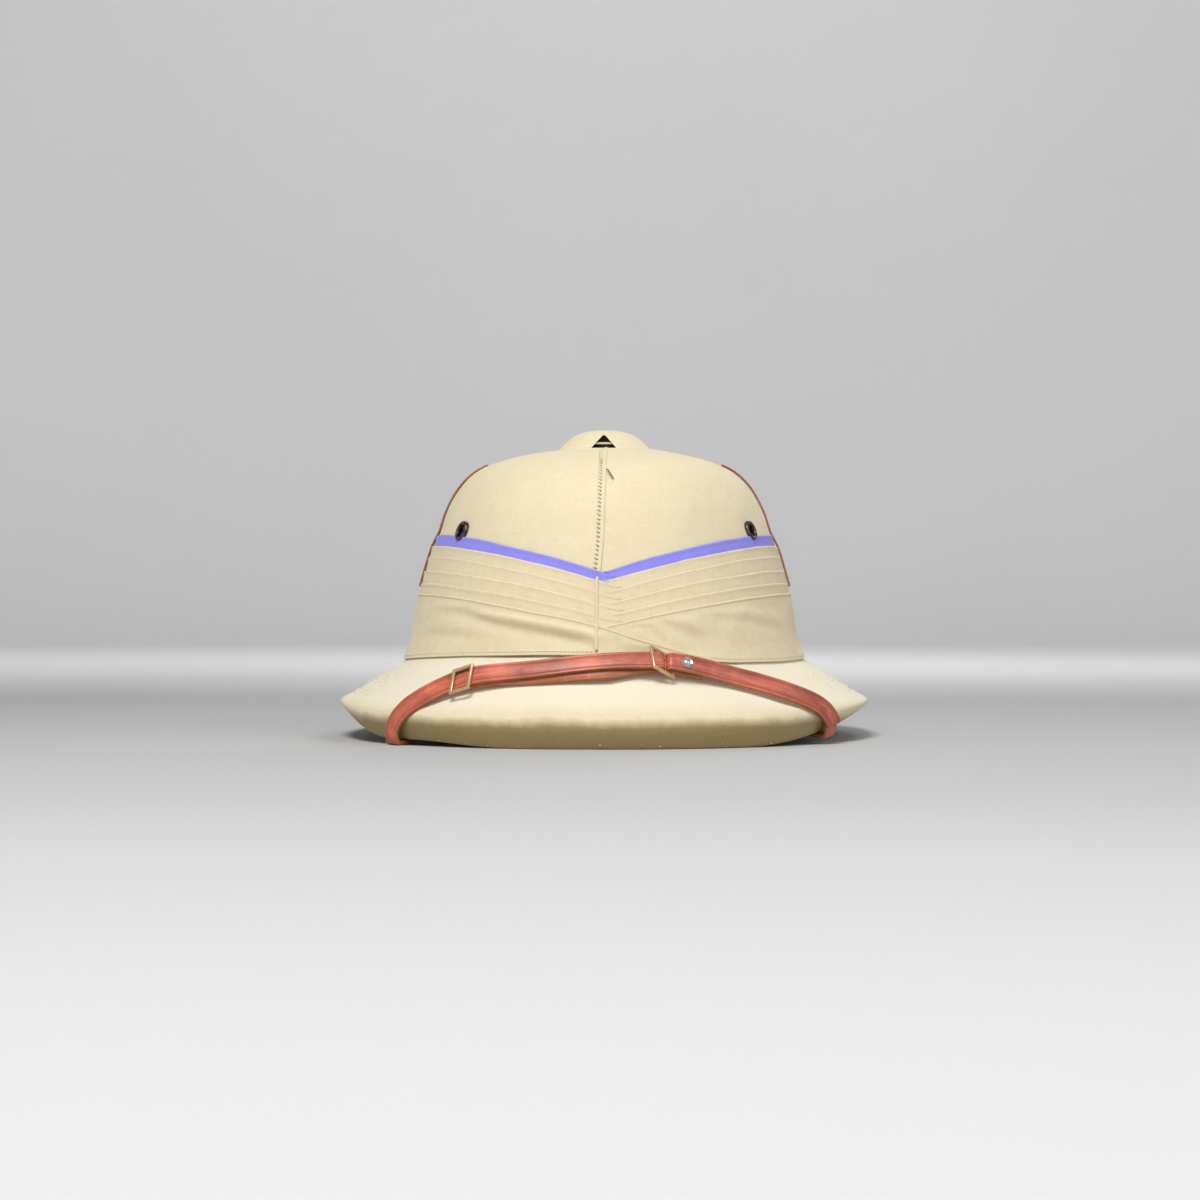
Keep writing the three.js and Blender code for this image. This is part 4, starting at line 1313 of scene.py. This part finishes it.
def strap_rows(run, side, crossing):
    """Rows of a strap from its post, under the brim and round the rim, to the front: place and upper edge."""

    def away(row, degrees):
        return unit(row(degrees + side) - row(degrees - side))

    rows = []
    for turn, inset, rise in RIM_ROUTE:
        degrees = side * (crossing + turn)
        place = brim_point(degrees, inset, rim_height(degrees) + rise)
        rows.append((place, away(lambda d: brim_point(d, RIM_INSET, rim_height(d)), degrees)))
    for turn, share, stand_off in UNDER_ROUTE:
        degrees = side * (crossing + turn)
        place = under_slope(degrees, share, share + 0.05, BRIM_WALL + stand_off)
        rows.append((place, away(lambda d: brim_slope(d, share), degrees)))
    inset = CROWN_WALL + POST_BACKING + POST_DEPTH + POST_CLEARANCE + sizes().strap_thickness / 2
    for below, turn_before in ((0.013, 3.25), (0.0, 0.0)):
        place, round_, out = crown_frame(side * (crossing + POST_TURN - turn_before), POST_HEIGHT - below)
        rows.append((place - out * inset, round_ * side))
    return rows[::-1] + [(np.array(row[:3]), np.array(row[3:])) for row in run]


def smoothed(values, reach=8):
    """A running mean along a strap that leaves its ends where they are."""
    padded = np.concatenate([np.repeat(values[:1], reach, 0), values, np.repeat(values[-1:], reach, 0)])
    weights = np.hanning(2 * reach + 3)[1:-1]
    weights /= weights.sum()
    return np.stack([np.convolve(column, weights, "valid") for column in padded.T], axis=-1)


def stations(rows, steps):
    """Places along a strap, with the way along it, its upper edge's way and the way out of its face."""
    places, edges = (np.array(column) for column in zip(*rows))
    last = len(rows) - 1
    at = np.linspace(0, last, steps + 1)
    curve = curve_through(places, at)
    curve[1:-1] = smoothed(curve)[1:-1]
    ahead, behind = np.minimum(at + 1e-3, last), np.maximum(at - 1e-3, 0)
    along = unit(curve_through(places, ahead) - curve_through(places, behind))
    low = np.clip(at.astype(int), 0, last - 1)
    edge = smoothed(edges[low] + (edges[low + 1] - edges[low]) * (at - low)[:, None], 24)
    edge = unit(edge - along * (edge * along).sum(-1, keepdims=True))
    return curve, along, edge, unit(np.cross(along, edge))


def strap_lines():
    """Stations of the long strap, on the wearer's right, and of the short one."""
    return (
        stations(strap_rows(LONG_RUN, -1, LONG_CROSSING), LONG_STEPS),
        stations(strap_rows(SHORT_RUN, 1, SHORT_CROSSING), SHORT_STEPS),
    )


def doubled_back(line, to, drop, after, over, level, turn_steps=24):
    """The strap's stations, then its turn round a bar and the layer that lies back under it."""
    place, along, edge, out = line
    sign = 1 if out[-1][1] < 0 else -1
    radius = TURN_SPACING / 2
    turned = (np.arange(turn_steps) + 1)[:, None] * math.pi / (turn_steps + 1)
    turn_out = out[-1] * np.cos(turned) + along[-1] * sign * np.sin(turned)
    inward = out[-1] * sign * radius * (1 - np.cos(turned))
    turn_place = place[-1] + along[-1] * radius * np.sin(turned) - inward
    keep = (place[:, 0] - to) * (place[-1, 0] - to) > 0
    run = np.clip((np.abs(place[:, 0] - place[-1, 0]) - after) / over, 0, 1)[:, None]
    spacing = TURN_SPACING + (LAYER_SPACING - TURN_SPACING) * run
    away = np.abs(place[:, 0] - place[-1, 0])
    drop = drop * run * (1 - 0.82 * smoothstep(away, 0.25 * level, level))[:, None]
    back_place = (place - out * sign * spacing - edge * drop)[keep][::-1]
    return (
        np.concatenate([place, turn_place, back_place]),
        np.concatenate([edge, np.repeat(edge[-1:], turn_steps, 0), edge[keep][::-1]]),
        np.concatenate([out, turn_out, -out[keep][::-1]]),
    )


def strap_section():
    """The strap's section with eased corners: across, out, cut edge, and the tooled line near each edge."""
    half, thick, ease = sizes().strap_width / 2, sizes().strap_thickness / 2, 0.0004
    face = [
        (half - ease * 1.4, thick, 0, 0),
        (half - 0.0012, thick, 0, 0.3),
        (half - 0.0015, thick - 0.00016, 0, 1),
        (half - 0.0018, thick, 0, 0.3),
        (half * 0.3, thick + 0.00012, 0, 0),
    ]
    mirrored = [(-across, out, cut, line) for across, out, cut, line in face[::-1]]
    across_, out_ = half - ease * 0.3, thick - ease * 0.3
    side = [(-across_, out_, 0.4, 0), (-half, thick - ease, 1, 0), (-half, -thick + ease, 1, 0)]
    back = [(-half + ease, -thick, 0.6, 0), (half - ease, -thick, 0.6, 0)]
    far = [(half, -thick + ease, 1, 0), (half, thick - ease, 1, 0), (across_, out_, 0.4, 0)]
    return np.array(face + mirrored + side + back + far)


class HELMET_OT_straps(bpy.types.Operator):
    """Run the two leather straps from their posts, round the rim and across the front"""

    bl_idname = "helmet.straps"
    bl_label = "Chin Strap"

    def execute(self, context):
        leather = strap_leather("strap_leather")
        long_line, short_line = strap_lines()
        for name, line, back in (
            ("chin_strap_long", long_line, LONG_RETURN),
            ("chin_strap_short", short_line, SHORT_RETURN),
        ):
            piece = self.strap(f"{name}_leather", *doubled_back(line, **back))
            finish_piece(piece, leather, "strap_leather", name)
        return {"FINISHED"}

    def strap(self, name, place, edge, out):
        section = strap_section()
        front = np.flatnonzero((place[:, 1] < -0.13) & (place[:, 2] > 0.025))[0]
        if out[front][1] > 0:
            section[:, 1] *= -1
        closed = np.vstack([section, section[:1]])[:, None, None]
        points = place + edge * closed[..., 0] + out * closed[..., 1]
        points = points + edge * (unevenness(place, 0.03, 91) * 0.00012)[:, None]
        piece = laid_grid(name, points[::-1], (path_length(place), 0.025), (False, True))
        self.mark(piece, points[:-1], section)
        in_edit_mode(piece, fill_ends, face_outward)
        shade(piece, 50)
        return piece

    def mark(self, piece, points, section):
        """Store where the cut edges and the tooled lines are, for the leather's colour."""
        columns = {tuple(np.round(p, 7)): i for i, row in enumerate(points) for p in row.tolist()}
        cut = piece.data.attributes.new("cut_edge", "FLOAT", "POINT")
        line = piece.data.attributes.new("tooled_line", "FLOAT", "POINT")
        for index, vertex in enumerate(piece.data.vertices):
            column = columns.get(tuple(np.round(vertex.co, 7)))
            if column is None:
                continue
            cut.data[index].value = section[column][2]
            line.data[index].value = section[column][3]


def strap_spot(line, x):
    """A frame on a strap where it passes a place across the front."""
    place, _, edge, out = line
    front = (place[:, 1] < -0.125) & (place[:, 2] > 0.015)
    index = np.flatnonzero(front)[np.abs(place[front, 0] - x).argmin()]
    facing = out[index] if out[index][1] < 0 else -out[index]
    return place[index], unit(np.cross(edge[index], facing)), edge[index], facing


# The slide's and buckle's rings, length and height, and the rivet head's section of radius and height.
SLIDE_SIZE, BUCKLE_SIZE = (0.0116, 0.0132), (0.013, 0.0134)
RIVET_SECTION = (
    (0.0, 0.0),
    (0.0031, 0.0),
    (0.0031, 0.0004),
    (0.0027, 0.0008),
    (0.0022, 0.0006),
    (0.0019, 0.0004),
    (0.0016, 0.0007),
    (0.001, 0.0011),
    (0.0, 0.0013),
)


class HELMET_OT_hardware(bpy.types.Operator):
    """Make the brass slide and buckle, and the rivet head"""

    bl_idname = "helmet.hardware"
    bl_label = "Slide, Buckle and Rivet"

    def execute(self, context):
        brass = metal("strap_brass", colours().brass, (0.5, 0.3, 0.16), shine=0.55)
        long_line, short_line = strap_lines()
        end, _, edge, out = (part[-1] for part in long_line)
        half, wire = sizes().strap_thickness / 2, sizes().wire
        place, round_, up, facing = strap_spot(long_line, SLIDE_X)
        slide = self.frame_ring("slide_brass", SLIDE_SIZE, wire, half + 0.0012, -half - 0.0005)
        slide.data.transform(frame_matrix(place - up * 0.0013, round_, facing, unit(up + round_ * 0.3)))
        finish_piece(slide, brass, "strap_brass", "strap_slide")
        facing = out if out[1] < 0 else -out
        round_ = unit(np.cross(edge, facing))
        turned_, upward = unit(round_ * 0.9 - edge * 0.24 - facing * 0.5), unit(edge - round_ * 0.05)
        middle = end + round_ * 0.001 - edge * 0.0006 - facing * 0.00157
        buckle = self.frame_ring("buckle_brass", BUCKLE_SIZE, wire, wire / 2)
        buckle.data.transform(frame_matrix(middle, turned_, unit(np.cross(turned_, upward)), upward))
        finish_piece(buckle, brass, "strap_brass", "strap_buckle")
        place, round_, up, facing = strap_spot(short_line, RIVET_X)
        rivet = spun("rivet_head", RIVET_SECTION, 40, place + facing * (half + 0.0001), round_, facing)
        silver = metal("rivet_metal", colours().silver, (0.35, 0.33, 0.3))
        finish_piece(rivet, silver, "rivet_metal", "strap_rivet")
        return {"FINISHED"}

    def frame_ring(self, name, size, wire, front, back=None):
        """A ring before the strap, and if asked a rail at its top that holds a bar behind the strap."""
        length_, height = size
        ring = added("plane", size=1)
        for vertex in ring.data.vertices:
            vertex.co = (vertex.co.x * length_, vertex.co.y * height, front - wire / 2)
        in_edit_mode(
            ring,
            lambda: bpy.ops.mesh.inset(thickness=wire, depth=0),
            lambda: bpy.ops.mesh.delete(type="FACE"),
            lambda: bpy.ops.mesh.select_all(action="SELECT"),
            lambda: bpy.ops.mesh.extrude_region_move(TRANSFORM_OT_translate={"value": (0, 0, wire)}),
            face_outward,
        )
        parts = [ring]
        if back is not None:
            rail = (0, (height - wire) / 2, (front + back) / 2)
            parts.append(self.block((wire * 1.2, wire * 0.7, front - back), rail))
            parts.append(self.block((wire * 1.2, height * 0.86, wire * 0.6), (0, height * 0.06, back)))
        for part in parts:
            apply_modifier(part, "BEVEL", width=wire * 0.32, segments=3, limit_method="ANGLE")
        piece = joined(name, parts)
        shade(piece, 40)
        return piece

    def block(self, size, place):
        block = added("cube", size=1)
        for vertex in block.data.vertices:
            vertex.co = Vector([v * s + p for v, s, p in zip(vertex.co, size, place)])
        return block


class HELMET_OT_posts(bpy.types.Operator):
    """Give the plain strap posts their leather finish"""

    bl_idname = "helmet.posts"
    bl_label = "Strap Posts"

    def execute(self, context):
        finish = plain_leather("post_leather", (0.2, 0.1, 0.05))
        for name in ("strap_post_left", "strap_post_right"):
            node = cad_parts[name]
            node.data.materials.clear()
            node.data.materials.append(finish)
        return {"FINISHED"}


TUFTS = 620


class HELMET_OT_lint(bpy.types.Operator):
    """Raise worn cotton lint on the brim's edges"""

    bl_idname = "helmet.lint"
    bl_label = "Worn Lint"

    def execute(self, context):
        rng = np.random.default_rng(12)
        model = added("ico_sphere", subdivisions=1, radius=1)
        matrices = []
        for _ in range(TUFTS):
            where = rng.random()
            side = rng.choice((-1, 1), p=(0.7, 0.3))
            if where < 0.55:
                degrees, share, coarse = side * rng.uniform(62, 116), rng.uniform(0.05, 0.98) ** 0.7, 1.2
            elif where < 0.9:
                degrees, share, coarse = side * rng.uniform(20, 160), rng.uniform(0.7, 0.99), 0.6
            else:
                degrees, share, coarse = rng.uniform(-60, 80), 1.0, 0.8
            place = brim_slope(degrees, share)
            if share == 1.0:
                place = brim_point(degrees, 0.0036, rim_height(degrees) + rng.uniform(0.0008, 0.003))
            out = unit(brim_slope(degrees, 0.5) - under_slope(degrees, 0.5, 0.9, 0.01))
            across = unit(np.cross(out, unit(rng.normal(size=3))))
            size = rng.uniform(0.0002, 0.0005) * coarse
            turn = frame_matrix(place + out * rng.uniform(0.0, 0.0004), across, out)
            long_, flat_ = rng.uniform(0.8, 2.2), rng.uniform(0.4, 0.9)
            stretch = Matrix.Diagonal((size * long_, size * 0.8, size * flat_, 1))
            matrices.append(turn @ stretch)
        piece = copies("brim_lint", model, matrices)
        shade(piece)
        finish_piece(piece, thread_finish("lint", (0.86, 0.8, 0.6)), "cover_cloth")
        return {"FINISHED"}


# Stage

FLOOR_RADIUS, COVE, WALL_TOP = 3.0, 0.9, 2.4

# Lights on the helmet: name, place, aim, size and power.
LIGHTS = (
    ("top_light", (-0.25, -1.0, 1.45), (0.0, 0.0, 0.05), 0.7, 23.5),
    ("side_light", (1.2, -0.9, 1.1), (0.0, 0.0, 0.08), 0.7, 4.6),
    ("back_light", (0.5, 1.4, 1.2), (0.0, 0.0, 0.1), 0.9, 7.0),
)


class HELMET_OT_stage(bpy.types.Operator):
    """Set the pale floor, the soft lights and the camera"""

    bl_idname = "helmet.stage"
    bl_label = "Stage"

    def execute(self, context):
        self.floor()
        for row in LIGHTS:
            self.light(*row)
        for index in range(4):
            x, y = round(math.sin(index * math.pi / 2)), round(math.cos(index * math.pi / 2))
            aim = (FLOOR_RADIUS + COVE) * x, (FLOOR_RADIUS + COVE) * y, 0.7
            self.light(f"wall_light_{index + 1}", (1.4 * x, 1.4 * y, 1.9), aim, 1.6, 58.0)
        world = bpy.data.worlds.new("studio")
        world.use_nodes = True
        backdrop = world.node_tree.nodes["Background"]
        backdrop.inputs["Color"].default_value = (0.93, 0.95, 1.0, 1.0)
        backdrop.inputs["Strength"].default_value = 0.1
        context.scene.world = world
        context.scene.view_settings.view_transform = "Standard"
        self.camera(context)
        return {"FINISHED"}

    def floor(self):
        """A round floor whose edge rises in a cove to a low wall."""
        floor = added("circle", vertices=128, radius=FLOOR_RADIUS, fill_type="NGON")
        floor.name = "floor"
        turns = np.linspace(0, math.pi / 2, 9)[1:]
        rise = [(FLOOR_RADIUS + COVE * math.sin(turn), COVE - COVE * math.cos(turn)) for turn in turns]
        rise.append((FLOOR_RADIUS + COVE, WALL_TOP))

        def raise_edge():
            radius, height = FLOOR_RADIUS, 0.0
            bpy.ops.mesh.select_all(action="DESELECT")
            bpy.ops.mesh.select_non_manifold()
            for new_radius, new_height in rise:
                bpy.ops.mesh.extrude_edges_move(TRANSFORM_OT_translate={"value": (0, 0, new_height - height)})
                scale = new_radius / radius
                bpy.ops.transform.resize(value=(scale, scale, 1))
                radius, height = new_radius, new_height

        in_edit_mode(floor, raise_edge)
        shade(floor, 30)
        nodes = Nodes("floor_paint")
        clouds = nodes.noise(nodes.space, 1.5)
        floor.data.materials.append(nodes.finished(nodes.tint(clouds, colours().floor, 0.97, 1.02), 0.85))
        floor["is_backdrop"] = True

    def light(self, name, place, aim, size, power):
        data = bpy.data.lights.new(name, "AREA")
        data.shape = "DISK"
        data.size = size
        data.energy = power
        light = bpy.data.objects.new(name, data)
        light.location = place
        light.rotation_euler = (Vector(aim) - Vector(place)).to_track_quat("-Z", "Y").to_euler()
        bpy.context.scene.collection.objects.link(light)

    def camera(self, context):
        """Level, at the height of the band's foot, 1.5 m before the helmet and a little to its right."""
        turn, distance, height, shift, view = math.radians(1.5), 1.5, 0.0728, 0.0026, 0.654
        middle = Vector((0.0, -0.011, height))
        forward = Vector((-math.sin(turn), math.cos(turn), 0.0))
        right = Vector((math.cos(turn), math.sin(turn), 0.0))
        data = bpy.data.cameras.new("camera")
        data.sensor_width = 36.0
        data.lens = data.sensor_width * distance / view
        data.clip_start = 0.05
        camera = bpy.data.objects.new("camera", data)
        camera.location = middle - forward * distance - right * shift
        camera.rotation_euler = forward.to_track_quat("-Z", "Y").to_euler()
        context.scene.collection.objects.link(camera)
        context.scene.camera = camera


class HELMET_PT_pieces(bpy.types.Panel):
    """Lists the operators that make the helmet's pieces"""

    bl_label = "Pith Helmet"
    bl_idname = "HELMET_PT_pieces"
    bl_space_type = "VIEW_3D"
    bl_region_type = "UI"
    bl_category = "Helmet"

    def draw(self, context):
        for group in (context.scene.helmet_sizes, context.scene.helmet_colours):
            for name in group.__annotations__:
                self.layout.prop(group, name)
        for operator in OPERATORS:
            self.layout.operator(operator.bl_idname)


OPERATORS = (
    HELMET_OT_stage,
    HELMET_OT_cover,
    HELMET_OT_vent,
    HELMET_OT_seams,
    HELMET_OT_folds,
    HELMET_OT_wrap,
    HELMET_OT_welt,
    HELMET_OT_side_strips,
    HELMET_OT_eyelets,
    HELMET_OT_straps,
    HELMET_OT_hardware,
    HELMET_OT_posts,
    HELMET_OT_lint,
)


def register():
    for item in (HelmetSizes, HelmetColours, *OPERATORS, HELMET_PT_pieces):
        bpy.utils.register_class(item)
    bpy.types.Scene.helmet_sizes = PointerProperty(type=HelmetSizes)
    bpy.types.Scene.helmet_colours = PointerProperty(type=HelmetColours)


def unregister():
    del bpy.types.Scene.helmet_colours
    del bpy.types.Scene.helmet_sizes
    for item in (HELMET_PT_pieces, *reversed(OPERATORS), HelmetColours, HelmetSizes):
        bpy.utils.unregister_class(item)


def main():
    register()
    for operator in OPERATORS:
        group, name = operator.bl_idname.split(".")
        getattr(getattr(bpy.ops, group), name)()
    boxes = {"cad": cad_box, "visual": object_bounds()}
    {key: [list(map(float, corner)) for corner in box] for key, box in boxes.items()}


if __name__ == "__main__":
    main()
